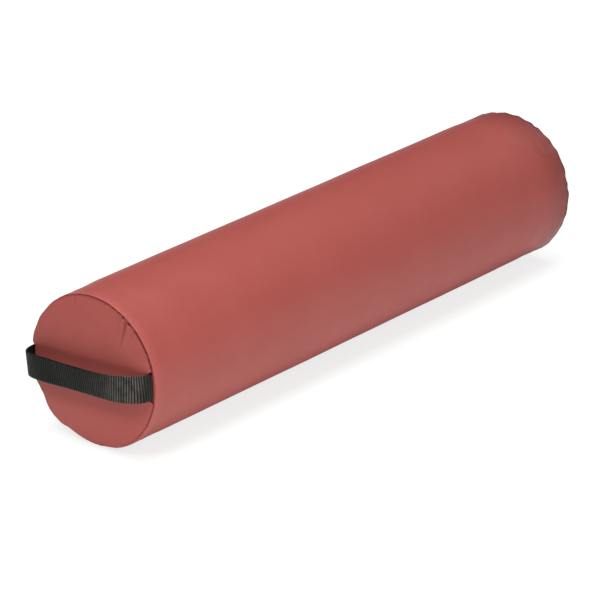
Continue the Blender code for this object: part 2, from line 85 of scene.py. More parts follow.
# The cover
VINYL = 0.9 * MM
NEAR_SHOULDER = 6 * MM
FAR_SHOULDER = 16 * MM
ALLOWANCE = 10.5 * MM
FOAM_GAP = 0.3 * MM
FOAM_EDGE = SEAM_RADIUS - ALLOWANCE - 0.6 * MM  # radius where its crowned end stops, inside the allowance
FOAM_FACE = SEAM_X - 2.8 * MM  # X of the foam's shoulder behind the allowance
WINDOW_LENGTH = stop_high.x + 4 * MM  # from the middle to each end of the opening over the zip
WINDOW_WIDTH = SLIDER_HALF + 0.3 * MM  # from the middle of the zip to each hem
HEM_WIDTH = 10 * MM
HEM_FOLD = 1 * MM
SLIT = 0.15 * MM  # half the gap where the cover meets itself beyond the window
RIM_RADIUS = 75.2 * MM  # of both end seams, which the foam fills out more than their pattern
END_DOME = 3.4 * MM
END_COLUMNS = 480
HANDLE_ROOM = 0.95 * MM  # how far the tube's edge is drawn back where the handle leaves the seam
PULL_SINK = 0.85 * MM  # how far the cover sinks under the pull when the slider is at the far end
FAR_SHADE_START, FAR_SHADE_END = 272 * MM, 332 * MM  # X where the tube darkens towards the far seam

# Sewing
STITCH = 2.6 * MM
STITCH_GAP = 0.7 * MM
STITCH_INSET = 2.8 * MM  # from the hems to the zip's stitching
THREAD_RADIUS = 0.25 * MM

# The zip, in distances out from the bolster's axis and across from the zip's middle
COIL_BASE, COIL_TOP = coil_low.y, coil_high.y
COIL_EDGE = coil_high.z - AXIS_HEIGHT
COIL_PITCH = 1.3 * MM
COIL_WIRE = 0.3 * MM
HEAD_REACH = 0.42 * MM  # past the zip's middle, into the other row of teeth
HEAD_PARTED = 0.75 * MM  # short of the zip's middle, where the wedge parts the rows
TEETH_PARTED = slider_low.x + 1.9 * MM  # X up to which the rows are parted
SLIDER_CORNER = 1.6 * MM
SLIDER_PLATE = 1.2 * MM
SLIDER_FLANGE = 0.8 * MM
SLIDER_UNDERSIDE = COIL_TOP + 0.3 * MM
SLIDER_TOP = SLIDER_UNDERSIDE + SLIDER_PLATE
BAIL_LENGTH = 8.6 * MM
BAIL_WIDTH = 1.4 * MM
BAIL_WIRE = 0.5 * MM
BAIL_CORNER = 1.5 * MM
PULL_HINGE = Vector(((slider_low.x + slider_high.x) / 2, SLIDER_TOP + 1.3 * MM, AXIS_HEIGHT))
PULL_THICKNESS = 1.2 * MM
PULL_LENGTH = 25.5 * MM
PULL_TIP = 2.6 * MM
PULL_ARM = 1.5 * MM
PULL_TILT = math.asin((PULL_HINGE.y - PULL_THICKNESS / 2 - COIL_TOP - 0.3 * MM) / PULL_LENGTH)

# The handle
STRAP_WIDTH = 25.4 * MM
STRAP_THICKNESS = 1.8 * MM
STRAP_ROLL = math.radians(-2.6)
STRAP_STAND_OFF = 22.4 * MM
STRAP_REACH = SEAM_RADIUS - 0.7 * MM
STRAP_TAIL = 1.3 * MM
STRAP_BEND = 1.5 * MM
STRAP_TURNS = (STRAP_ROLL, math.pi + STRAP_ROLL)
STRAP_STEP = 0.32 * MM
STRAP_COLUMNS = 41
RIB_PITCH = 2.45 * MM
YARN_PITCH = 1.27 * MM

# The camera, from the photograph's outline of the bolster
AZIMUTH = math.radians(-51.52)
ELEVATION = math.radians(21.61)
DISTANCE = 3.935
SIDE_SHIFT = 0.0137
UP_SHIFT = 0.0286
LENS = 240
SENSOR = 36

LAMP_DISTANCE = 2.0


def at_turn(along, radius, turn):
    """The point at this X, this far from the axis and at this turn."""
    return Vector((along, radius * math.cos(turn), AXIS_HEIGHT + radius * math.sin(turn)))


def turn_of(point):
    return math.atan2(point.z - AXIS_HEIGHT, point.y) % (2 * math.pi)


def smooth_step(low, high, value):
    share = min(1.0, max(0.0, (value - low) / (high - low)))
    return share * share * (3 - 2 * share)


def turn_gap(turn, other):
    """The signed angle from other to turn, the short way round."""
    return (turn - other + math.pi) % (2 * math.pi) - math.pi


def bell(value, width, power=2):
    """1 at zero, falling away smoothly over the width on both sides."""
    return math.exp(-((value / width) ** power))


def bell_at(turn, middle, width):
    """A bell over the turns round a middle. Middle and width are in degrees."""
    return bell(turn_gap(turn, math.radians(middle)), math.radians(width))


def middle_point():
    return Vector((0, 0, AXIS_HEIGHT))


def link_object(name, data):
    obj = bpy.data.objects.new(name, data)
    bpy.context.scene.collection.objects.link(obj)
    return obj


def make_mesh(name, shape):
    """A mesh with this name from a bmesh, which is freed."""
    mesh = bpy.data.meshes.new(name)
    shape.to_mesh(mesh)
    shape.free()
    return mesh


# Camera


def add_camera():
    back = Vector(
        (
            math.sin(AZIMUTH) * math.cos(ELEVATION),
            -math.cos(AZIMUTH) * math.cos(ELEVATION),
            math.sin(ELEVATION),
        )
    )
    right = Vector((math.cos(AZIMUTH), math.sin(AZIMUTH), 0))
    up = back.cross(right)
    camera = bpy.data.cameras.new("camera")
    camera.lens = LENS
    camera.sensor_width = SENSOR
    camera.clip_end = 50
    obj = link_object("camera", camera)
    place = middle_point() - SIDE_SHIFT * right - UP_SHIFT * up + DISTANCE * back
    turn = Matrix((right, up, back)).transposed().to_4x4()
    obj.matrix_world = Matrix.Translation(place) @ turn
    bpy.context.scene.camera = obj


# Shader helpers

# Places of the colour sockets on a Mix node, which names its sockets alike for every type
COLOUR_A, COLOUR_B, COLOUR_RESULT = 6, 7, 2


def new_node(tree, kind, **settings):
    node = tree.nodes.new(kind)
    for name, value in settings.items():
        setattr(node, name, value)
    return node


def plug(tree, source, target):
    """Links a socket, or sets a plain value, on the target socket."""
    if isinstance(source, bpy.types.NodeSocket):
        tree.links.new(source, target)
    else:
        target.default_value = source


def maths(tree, operation, first, second=0.5, third=0.0):
    node = new_node(tree, "ShaderNodeMath", operation=operation)
    for value, socket in zip((first, second, third), node.inputs):
        plug(tree, value, socket)
    return node.outputs[0]


def noise_value(tree, vector, scale, detail=2.0, roughness=0.5):
    node = new_node(tree, "ShaderNodeTexNoise")
    plug(tree, vector, node.inputs["Vector"])
    plug(tree, scale, node.inputs["Scale"])
    node.inputs["Detail"].default_value = detail
    node.inputs["Roughness"].default_value = roughness
    return node.outputs["Fac"]


def ramp(tree, value, stops):
    """A colour ramp through (place, colour) stops."""
    node = new_node(tree, "ShaderNodeValToRGB")
    elements = node.color_ramp.elements
    while len(elements) < len(stops):
        elements.new(1.0)
    for element, (place, colour) in zip(elements, stops):
        element.position = place
        element.color = colour
    plug(tree, value, node.inputs["Fac"])
    return node.outputs["Color"]


def remap(tree, value, low, high, to_low, to_high):
    node = new_node(tree, "ShaderNodeMapRange")
    for source, name in (
        (value, "Value"),
        (low, "From Min"),
        (high, "From Max"),
        (to_low, "To Min"),
        (to_high, "To Max"),
    ):
        plug(tree, source, node.inputs[name])
    return node.outputs["Result"]


def mix_colours(tree, share, first, second):
    node = new_node(tree, "ShaderNodeMix", data_type="RGBA")
    plug(tree, share, node.inputs["Factor"])
    plug(tree, first, node.inputs[COLOUR_A])
    plug(tree, second, node.inputs[COLOUR_B])
    return node.outputs[COLOUR_RESULT]


def new_group(name, inputs, outputs):
    """A shader node group with named inputs (with their defaults) and outputs."""
    tree = bpy.data.node_groups.new(name, "ShaderNodeTree")
    for label, kind, value in inputs:
        socket = tree.interface.new_socket(label, in_out="INPUT", socket_type=kind)
        socket.default_value = value
    for label, kind in outputs:
        tree.interface.new_socket(label, in_out="OUTPUT", socket_type=kind)
    return tree, tree.nodes.new("NodeGroupInput"), tree.nodes.new("NodeGroupOutput")


def use_group(tree, group, **values):
    node = new_node(tree, "ShaderNodeGroup", node_tree=group)
    for name, value in values.items():
        plug(tree, value, node.inputs[name.replace("_", " ")])
    return node


def object_point(tree):
    """A point's own place on its object."""
    return new_node(tree, "ShaderNodeTexCoord").outputs["Object"]


def object_place(tree):
    """The X, Y and Z sockets of a point's own place on its object."""
    split = new_node(tree, "ShaderNodeSeparateXYZ")
    plug(tree, object_point(tree), split.inputs[0])
    return split.outputs


def mottle(tree, patches_per_metre, contrast):
    return use_group(tree, MOTTLE, Patches_per_metre=patches_per_metre, Contrast=contrast).outputs["Value"]


def bands(tree, direction, scale, distortion=0.0):
    """Even bands across one direction of the object, from 0 to 1."""
    node = new_node(tree, "ShaderNodeTexWave", bands_direction=direction)
    plug(tree, object_point(tree), node.inputs["Vector"])
    node.inputs["Scale"].default_value = scale
    node.inputs["Distortion"].default_value = distortion
    return node.outputs["Fac"]


def new_material(name):
    material = bpy.data.materials.new(name)
    material.use_nodes = True
    tree = material.node_tree
    return material, tree, tree.nodes["Principled BSDF"]


def add_bump(tree, shader, height, distance, strength=1.0):
    bump = new_node(tree, "ShaderNodeBump")
    bump.inputs["Strength"].default_value = strength
    bump.inputs["Distance"].default_value = distance
    plug(tree, height, bump.inputs["Height"])
    plug(tree, bump.outputs["Normal"], shader.inputs["Normal"])


# Shared surface effects


def grain_group():
    """Pressed leather grain of upholstery vinyl: small pebbles with creases between them."""
    tree, entry, out = new_group(
        "Vinyl grain",
        [("Pebbles per metre", "NodeSocketFloat", 900.0), ("Crease depth", "NodeSocketFloat", 0.5)],
        [("Height", "NodeSocketFloat"), ("Crease", "NodeSocketFloat")],
    )
    place = object_point(tree)
    wobble = new_node(tree, "ShaderNodeTexNoise")
    plug(tree, place, wobble.inputs["Vector"])
    wobble.inputs["Scale"].default_value = 700.0
    shift = new_node(tree, "ShaderNodeVectorMath", operation="MULTIPLY_ADD")
    plug(tree, wobble.outputs["Color"], shift.inputs[0])
    shift.inputs[1].default_value = (0.6 * MM, 0.6 * MM, 0.6 * MM)
    plug(tree, place, shift.inputs[2])
    cells = new_node(tree, "ShaderNodeTexVoronoi", feature="DISTANCE_TO_EDGE")
    plug(tree, shift.outputs[0], cells.inputs["Vector"])
    plug(tree, entry.outputs["Pebbles per metre"], cells.inputs["Scale"])
    edge = remap(tree, cells.outputs["Distance"], 0.0, 0.28, 0.0, 1.0)
    soft = maths(tree, "POWER", edge, entry.outputs["Crease depth"])
    fine = noise_value(tree, place, 2600.0, 2.0)
    height = maths(tree, "MULTIPLY_ADD", fine, 0.25, soft)
    plug(tree, height, out.inputs["Height"])
    plug(tree, maths(tree, "SUBTRACT", 1.0, soft), out.inputs["Crease"])
    return tree


def mottle_group():
    """Slow unevenness of a dyed surface, from 0 to 1 about a half."""
    tree, entry, out = new_group(
        "Mottle",
        [("Patches per metre", "NodeSocketFloat", 20.0), ("Contrast", "NodeSocketFloat", 1.0)],
        [("Value", "NodeSocketFloat")],
    )
    slow = noise_value(tree, object_point(tree), entry.outputs["Patches per metre"], 3.0, 0.55)
    centred = maths(tree, "SUBTRACT", slow, 0.5)
    spread = maths(tree, "MULTIPLY_ADD", centred, entry.outputs["Contrast"], 0.5)
    plug(tree, spread, out.inputs["Value"])
    return tree


def weave_group():
    """Plain weave on the UV map, which runs in metres: U across the cloth and V along it.

    Rib is 1 on the crest of each pick and 0 in the valley before the next.
    """
    tree, entry, out = new_group(
        "Weave",
        [
            ("Yarn width", "NodeSocketFloat", 1.2 * MM),
            ("Pick length", "NodeSocketFloat", 2.5 * MM),
            ("Offset", "NodeSocketFloat", 0.5),
        ],
        [("Height", "NodeSocketFloat"), ("Fibre", "NodeSocketFloat"), ("Rib", "NodeSocketFloat")],
    )
    uv = new_node(tree, "ShaderNodeUVMap", uv_map="cloth")
    split = new_node(tree, "ShaderNodeSeparateXYZ")
    plug(tree, uv.outputs["UV"], split.inputs[0])
    across = maths(tree, "DIVIDE", split.outputs["X"], entry.outputs["Yarn width"])
    along = maths(tree, "DIVIDE", split.outputs["Y"], entry.outputs["Pick length"])
    odd = maths(tree, "MODULO", maths(tree, "FLOOR", across), 2.0)
    moved = maths(tree, "MULTIPLY_ADD", maths(tree, "ABSOLUTE", odd), entry.outputs["Offset"], along)

    def hump(value):
        """A rounded hump over each whole step of the value."""
        share = maths(tree, "FRACT", value)
        centred = maths(tree, "MULTIPLY_ADD", share, 2.0, -1.0)
        return maths(tree, "SUBTRACT", 1.0, maths(tree, "MULTIPLY", centred, centred))

    rib = hump(moved)
    height = maths(tree, "MULTIPLY", hump(across), rib)
    stretch = new_node(tree, "ShaderNodeCombineXYZ")
    plug(tree, maths(tree, "MULTIPLY", split.outputs["X"], 9000.0), stretch.inputs[0])
    plug(tree, maths(tree, "MULTIPLY", split.outputs["Y"], 700.0), stretch.inputs[1])
    fibre = noise_value(tree, stretch.outputs[0], 1.0, 2.0)
    plug(tree, maths(tree, "SQRT", height), out.inputs["Height"])
    plug(tree, fibre, out.inputs["Fibre"])
    plug(tree, rib, out.inputs["Rib"])
    return tree


def wear_group():
    """Where a hard surface is rubbed: its raised edges, broken up."""
    tree, entry, out = new_group(
        "Edge wear",
        [("Amount", "NodeSocketFloat", 0.5)],
        [("Mask", "NodeSocketFloat"), ("Scratches", "NodeSocketFloat")],
    )
    place = object_point(tree)
    raised = new_node(tree, "ShaderNodeNewGeometry").outputs["Pointiness"]
    edge = remap(tree, raised, 0.5, 0.62, 0.0, 1.0)
    broken = remap(tree, noise_value(tree, place, 900.0, 3.0), 0.35, 0.65, 0.0, 1.0)
    worn = maths(tree, "MULTIPLY", maths(tree, "MULTIPLY", edge, broken), entry.outputs["Amount"])
    stretch = new_node(tree, "ShaderNodeMapping")
    stretch.inputs["Scale"].default_value = (300.0, 6000.0, 6000.0)
    plug(tree, place, stretch.inputs["Vector"])
    scratches = noise_value(tree, stretch.outputs[0], 1.0, 2.0)
    plug(tree, worn, out.inputs["Mask"])
    plug(tree, scratches, out.inputs["Scratches"])
    return tree


GRAIN = grain_group()
MOTTLE = mottle_group()
WEAVE = weave_group()
WEAR = wear_group()


# Materials


def painted_highlight_band(tree, along):
    """1 on the tube just behind the near seam: a painted highlight on the cover's edge, where it rounds over
    its turned-in seam allowance.
    """
    past_seam = remap(tree, along, 1.0 * MM - SEAM_X, 2.2 * MM - SEAM_X, 0.0, 1.0)
    short_of = remap(tree, along, 5 * MM - SEAM_X, 13 * MM - SEAM_X, 1.0, 0.0)
    return maths(tree, "MULTIPLY", past_seam, short_of)


def painted_seam_shade(tree, place):
    """How much painted shade darkens the near end cover at its rim, beside the seam."""
    across = maths(tree, "MULTIPLY", place["Y"], place["Y"])
    lift = maths(tree, "SUBTRACT", place["Z"], AXIS_HEIGHT)
    radius = maths(tree, "SQRT", maths(tree, "MULTIPLY_ADD", lift, lift, across))
    at_rim = remap(tree, radius, RIM_RADIUS - 2.0 * MM, RIM_RADIUS - 0.9 * MM, 0.0, 0.4)
    on_end = remap(tree, place["X"], -SEAM_X, 1.0 * MM - SEAM_X, 1.0, 0.0)
    return maths(tree, "MULTIPLY", at_rim, on_end)


def far_shade(tree, along):
    """How much the tube darkens over its last stretch to the far seam."""
    nearing = remap(tree, along, FAR_SHADE_START, FAR_SHADE_END, 0.0, 1.0)
    on_tube = remap(tree, along, FAR_SHADE_END, FAR_SHADE_END + 2.5 * MM, 1.0, 0.0)
    shade = maths(tree, "MULTIPLY", maths(tree, "POWER", nearing, 1.7), on_tube)
    return maths(tree, "MULTIPLY", shade, 0.72)


def cover_vinyl():
    """Salmon-red upholstery vinyl, darker in its grain, with painted shade in its seams, at the near end's
    rim and towards the far seam, and a painted highlight behind the near seam.
    """
    material, tree, shader = new_material("cover_vinyl")
    deep, middle, light = (0.438, 0.094, 0.080, 1), (0.452, 0.100, 0.086, 1), (0.466, 0.106, 0.092, 1)
    # The seam colour is painted shade, laid where ambient occlusion finds the seams' grooves.
    in_crease, seam_shade_colour = (0.26, 0.048, 0.038, 1), (0.13, 0.019, 0.016, 1)
    # Painted colours: a highlight just behind the near seam, shade at the near end's rim, and shade towards
    # the far seam.
    painted_highlight_colour, at_rim, shaded = (0.50, 0.118, 0.104, 1), (0.17, 0.026, 0.022, 1), (0.17, 0.034, 0.028, 1)
    place = object_place(tree)
    colour = ramp(tree, mottle(tree, 22.0, 1.0), [(0.2, deep), (0.5, middle), (0.8, light)])
    grain = use_group(tree, GRAIN, Pebbles_per_metre=850.0, Crease_depth=0.6)
    colour = mix_colours(tree, maths(tree, "MULTIPLY", grain.outputs["Crease"], 0.12), colour, in_crease)
    # Painted highlight on the tube's rounded edge behind the near seam.
    highlight_share = painted_highlight_band(tree, place["X"])
    colour = mix_colours(tree, maths(tree, "MULTIPLY", highlight_share, 0.7), colour, painted_highlight_colour)
    # Painted shade on the near end cover's rim, beside the seam.
    colour = mix_colours(tree, painted_seam_shade(tree, place), colour, at_rim)
    # Painted shade: ambient occlusion darkens the vinyl in the seams' grooves and where the handle meets it,
    # less on the painted highlight.
    seams = new_node(tree, "ShaderNodeAmbientOcclusion", samples=6)
    seams.inputs["Distance"].default_value = 4 * MM
    occlusion_shade = remap(tree, seams.outputs["AO"], 0.45, 0.95, 1.0, 0.0)
    occlusion_shade = maths(tree, "MULTIPLY", occlusion_shade, remap(tree, highlight_share, 0.0, 1.0, 1.0, 0.3))
    colour = mix_colours(tree, occlusion_shade, colour, seam_shade_colour)
    colour = mix_colours(tree, far_shade(tree, place["X"]), colour, shaded)
    plug(tree, colour, shader.inputs["Base Color"])
    plug(tree, remap(tree, mottle(tree, 60.0, 1.0), 0.2, 0.8, 0.42, 0.50), shader.inputs["Roughness"])
    shader.inputs["Specular IOR Level"].default_value = 0.24
    add_bump(tree, shader, grain.outputs["Height"], 0.03 * MM, 0.6)
    return material


def painted_rib_highlights(tree, across):
    """Painted highlight: 1 where the handle bends on its front side and its rib crests are painted pale, in
    patches.
    """
    bent = maths(tree, "POWER", remap(tree, across, -48 * MM, 4 * MM, 1.0, 0.0), 2.2)
    free = remap(tree, across, -71 * MM, -66 * MM, 0.0, 1.0)
    broken = remap(tree, mottle(tree, 160.0, 1.6), 0.3, 0.7, 0.45, 1.0)
    return maths(tree, "MULTIPLY", maths(tree, "MULTIPLY", bent, free), broken)


def webbing():
    """Black ribbed webbing: painted shade darkens it between the ribs, its crests are a little paler, and a
    painted highlight lies on the crests where the handle bends in front.
    """
    material, tree, shader = new_material("webbing")
    # The valley colour is painted shade between the ribs.
    valley = (0.0035, 0.0032, 0.0025, 1)
    plain_crest, highlight_crest = (0.019, 0.0165, 0.013, 1), (0.15, 0.137, 0.118, 1)
    weave = use_group(tree, WEAVE, Yarn_width=0.9 * MM, Pick_length=RIB_PITCH, Offset=0.0).outputs
    # Painted highlight on the rib crests where the handle bends in front.
    on_crest = mix_colours(tree, painted_rib_highlights(tree, object_place(tree)["Y"]), plain_crest, highlight_crest)
    crest = maths(tree, "POWER", weave["Rib"], 3.0)
    plug(tree, mix_colours(tree, crest, valley, on_crest), shader.inputs["Base Color"])
    plug(tree, remap(tree, weave["Fibre"], 0.3, 0.7, 0.20, 0.30), shader.inputs["Roughness"])
    shader.inputs["Specular IOR Level"].default_value = 0.25
    add_bump(tree, shader, maths(tree, "MULTIPLY_ADD", weave["Fibre"], 0.15, weave["Height"]), 0.03 * MM)
    return material


def sewing_thread():
    """Twisted thread in a darker red than the vinyl."""
    material, tree, shader = new_material("thread")
    twist = bands(tree, "DIAGONAL", 900.0, 1.0)
    colour = ramp(tree, twist, [(0.0, (0.16, 0.028, 0.026, 1)), (1.0, (0.34, 0.075, 0.066, 1))])
    plug(tree, colour, shader.inputs["Base Color"])
    shader.inputs["Roughness"].default_value = 0.6
    add_bump(tree, shader, twist, 0.05 * MM)
    return material


def zip_cloth():
    """The zip's woven tape."""
    material, tree, shader = new_material("zip_tape")
    height = maths(tree, "MULTIPLY", bands(tree, "X", 320.0, 0.6), bands(tree, "Z", 500.0))
    colour = ramp(tree, height, [(0.0, (0.20, 0.038, 0.034, 1)), (1.0, (0.36, 0.080, 0.070, 1))])
    plug(tree, colour, shader.inputs["Base Color"])
    shader.inputs["Roughness"].default_value = 0.8
    add_bump(tree, shader, height, 0.1 * MM)
    return material


def zip_nylon():
    """Dyed nylon wire of the zip's coils."""
    material, tree, shader = new_material("zip_coil")
    slow = mottle(tree, 80.0, 1.2)
    colour = ramp(tree, slow, [(0.2, (0.30, 0.062, 0.055, 1)), (0.8, (0.38, 0.085, 0.074, 1))])
    plug(tree, colour, shader.inputs["Base Color"])
    shader.inputs["Roughness"].default_value = 0.32
    add_bump(tree, shader, slow, 0.02 * MM)
    return material


def zip_plating():
    """Dull nickel plating, rubbed to brass on its edges."""
    material, tree, shader = new_material("zip_metal")
    wear = use_group(tree, WEAR, Amount=0.8).outputs
    nickel, brass = (0.36, 0.35, 0.33, 1), (0.62, 0.58, 0.50, 1)
    plug(tree, mix_colours(tree, wear["Mask"], nickel, brass), shader.inputs["Base Color"])
    shader.inputs["Metallic"].default_value = 1.0
    plug(tree, remap(tree, wear["Scratches"], 0.3, 0.7, 0.26, 0.42), shader.inputs["Roughness"])
    add_bump(tree, shader, wear["Scratches"], 0.01 * MM)
    return material


def open_cell_foam():
    """Cream foam with open cells."""
    material, tree, shader = new_material("core_foam")
    cells = new_node(tree, "ShaderNodeTexVoronoi", feature="F1")
    plug(tree, object_point(tree), cells.inputs["Vector"])
    cells.inputs["Scale"].default_value = 1300.0
    depth = cells.outputs["Distance"]
    colour = ramp(tree, depth, [(0.1, (0.62, 0.56, 0.40, 1)), (0.6, (0.84, 0.80, 0.66, 1))])
    plug(tree, colour, shader.inputs["Base Color"])
    shader.inputs["Roughness"].default_value = 0.95
    add_bump(tree, shader, depth, 0.4 * MM)
    return material


MATERIALS = {
    "cover_vinyl": cover_vinyl(),
    "webbing": webbing(),
    "thread": sewing_thread(),
    "zip_tape": zip_cloth(),
    "zip_coil": zip_nylon(),
    "zip_metal": zip_plating(),
    "core_foam": open_cell_foam(),
}


# Pieces


def add_piece(name, shape, slot, body="root", replaced=()):
    """Makes an object of the bmesh, with the material of its slot, under its body, and hides the nodes it
    stands for.
    """
    mesh = make_mesh(name, shape)
    mesh.shade_smooth()
    mesh.materials.append(MATERIALS[slot])
    obj = link_object(name, mesh)
    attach(obj, body)
    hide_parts(*replaced)
    return obj


def face_out(shape):
    """Turns the faces of an open sheet away from the middle of the bolster."""
    bmesh.ops.recalc_face_normals(shape, faces=shape.faces)
    middle = middle_point()
    outward = sum(f.calc_area() * f.normal.dot(f.calc_center_median() - middle) for f in shape.faces)
    if outward < 0:
        bmesh.ops.reverse_faces(shape, faces=shape.faces)


def thicken(obj, thickness):
    """Gives an open sheet its wall, on the inside of its face."""
    wall = obj.modifiers.new("Wall", "SOLIDIFY")
    wall.thickness = thickness
    wall.offset = -1
    wall.use_even_offset = False


def turn_profile(shape, profile, steps):
    """Turns a line of (X, radius) points about the bolster's axis."""
    vertices = [shape.verts.new(at_turn(along, radius, 0)) for along, radius in profile]
    edges = [shape.edges.new(pair) for pair in zip(vertices, vertices[1:])]
    bmesh.ops.spin(
        shape,
        geom=vertices + edges,
        cent=(0, 0, AXIS_HEIGHT),
        axis=(1, 0, 0),
        angle=2 * math.pi,
        steps=steps,
        use_merge=True,
    )
    bmesh.ops.remove_doubles(shape, verts=shape.verts, dist=1e-6)


class Gathers:
    """The puckers of one end seam: the same ones show on the end cover and on the side cover.

    The seam is drawn in between its corners. A crease has its turn, its depth, its lengths on the end cover
    and on the side cover, its width, and its lean: how far it turns for each metre from the seam.
    """

    def __init__(self, seed, count, draw, special=()):
        pick = random.Random(seed)
        self.draw = draw
        self.corners = sorted(2 * math.pi * (i + pick.uniform(-0.28, 0.28)) / count for i in range(count))
        self.creases = [
            (
                pick.uniform(0, 2 * math.pi),
                pick.uniform(0.06, 0.26) * MM,
                pick.uniform(4, 11) * MM,
                pick.uniform(4, 12) * MM,
                pick.uniform(1.2, 2.6) * MM,
                pick.uniform(-2.0, 2.0),
            )
            for _ in range(count + 6)
        ]
        self.creases += list(special)

    def scallop(self, turn):
        """0 at the corners of the seam and 1 half way between two of them."""
        turn %= 2 * math.pi
        corners = self.corners
        after = next((i for i, c in enumerate(corners) if c > turn), 0)
        low, high = corners[after - 1], corners[after]
        share = ((turn - low) % (2 * math.pi)) / ((high - low) % (2 * math.pi))
        return max(0.0, math.sin(math.pi * share)) ** 1.5

    def crease(self, turn, inward, on_end):
        """Depth of the creases at a turn and a distance from the seam."""
        total = 0.0
        for place, depth, end_length, side_length, width, lean in self.creases:
            length = end_length if on_end else side_length
            if inward > length:
                continue
            across = turn_gap(turn, place + (lean * inward if on_end else 0)) * SEAM_RADIUS
            if abs(across) > 3.5 * width:
                continue
            fade = (1 - inward / length) ** 1.5
            ridges = 0.35 * bell(abs(across) - 1.8 * width, width)
            total += depth * fade * (bell(across, width) - ridges)
        return total


def photo_crease(turn, depth, end_length, side_length, width, lean):
    """A crease that the photograph shows, with its turn in degrees and its sizes in millimetres."""
    return (math.radians(turn), depth * MM, end_length * MM, side_length * MM, width * MM, lean)


NEAR_GATHERS = Gathers(
    seed=5,
    count=24,
    draw=0.4 * MM,
    special=[
        photo_crease(124.5, 2.5, 32, 4, 1.9, 8.5),
        photo_crease(119, 0.9, 11, 4, 1.6, -4.0),
        photo_crease(108, 0.8, 12, 4, 1.7, 3.0),
        photo_crease(133, 0.7, 12, 3, 1.6, 7.0),
        photo_crease(76, 0.8, 14, 4, 1.7, -9.0),
        photo_crease(154, 0.7, 15, 4, 1.6, -6.0),
        photo_crease(216, 0.5, 6, 5, 1.8, 0.0),
    ],
)
FAR_GATHERS = Gathers(seed=11, count=30, draw=0.8 * MM)

# Where the far seam is fuller, or flatter where it is below 0: middle and width in degrees, then millimetres
FAR_SWELLS = ((235, 12, 2.1), (57, 13, 1.3), (108, 25, -0.45), (166, 8, -1.0))


def near_rim_radius(turn):
    """Radius of the near seam: drawn up at the floor, and pulled in below the handle's end at +Y."""
    from_floor = abs(turn_gap(turn, math.radians(277)))
    at_floor = 1 - smooth_step(math.radians(14), math.radians(31), from_floor)
    below_handle = bell_at(turn, 329.5, 7)
    drawn = NEAR_GATHERS.draw * NEAR_GATHERS.scallop(turn)
    return RIM_RADIUS - drawn - 0.3 * MM - 3.3 * MM * at_floor - 2.8 * MM * below_handle


def far_rim_radius(turn):
    """Radius of the far seam, with its swells. In front, above the floor, it is hardly drawn in."""
    swell = sum(more * MM * bell_at(turn, middle, width) for middle, width, more in FAR_SWELLS)
    calm = 0.75 * bell_at(turn, 222, 30)
    drawn = (1 - calm) * FAR_GATHERS.draw * FAR_GATHERS.scallop(turn)
    return RIM_RADIUS - 0.4 * MM + swell - drawn


def rim_radius(end, turn):
    """Radius of an end seam. end is below 0 near and above 0 far, as an X is."""
    return near_rim_radius(turn) if end < 0 else far_rim_radius(turn)


def pulled_back(end, turn):
    """How far the near seam is drawn along the tube where it meets the floor."""
    if end > 0:
        return 0.0
    from_floor = abs(turn_gap(turn, math.radians(272)))
    return 2.0 * MM * (1 - smooth_step(math.radians(12), math.radians(52), from_floor))


def beside_strap(turn):
    """1 where the handle leaves the near seam, fading to 0 beside it."""
    gap = min(abs(turn_gap(turn, place)) for place in STRAP_TURNS) * SEAM_RADIUS
    return 1 - smooth_step(STRAP_WIDTH / 2, STRAP_WIDTH / 2 + 3.5 * MM, gap)


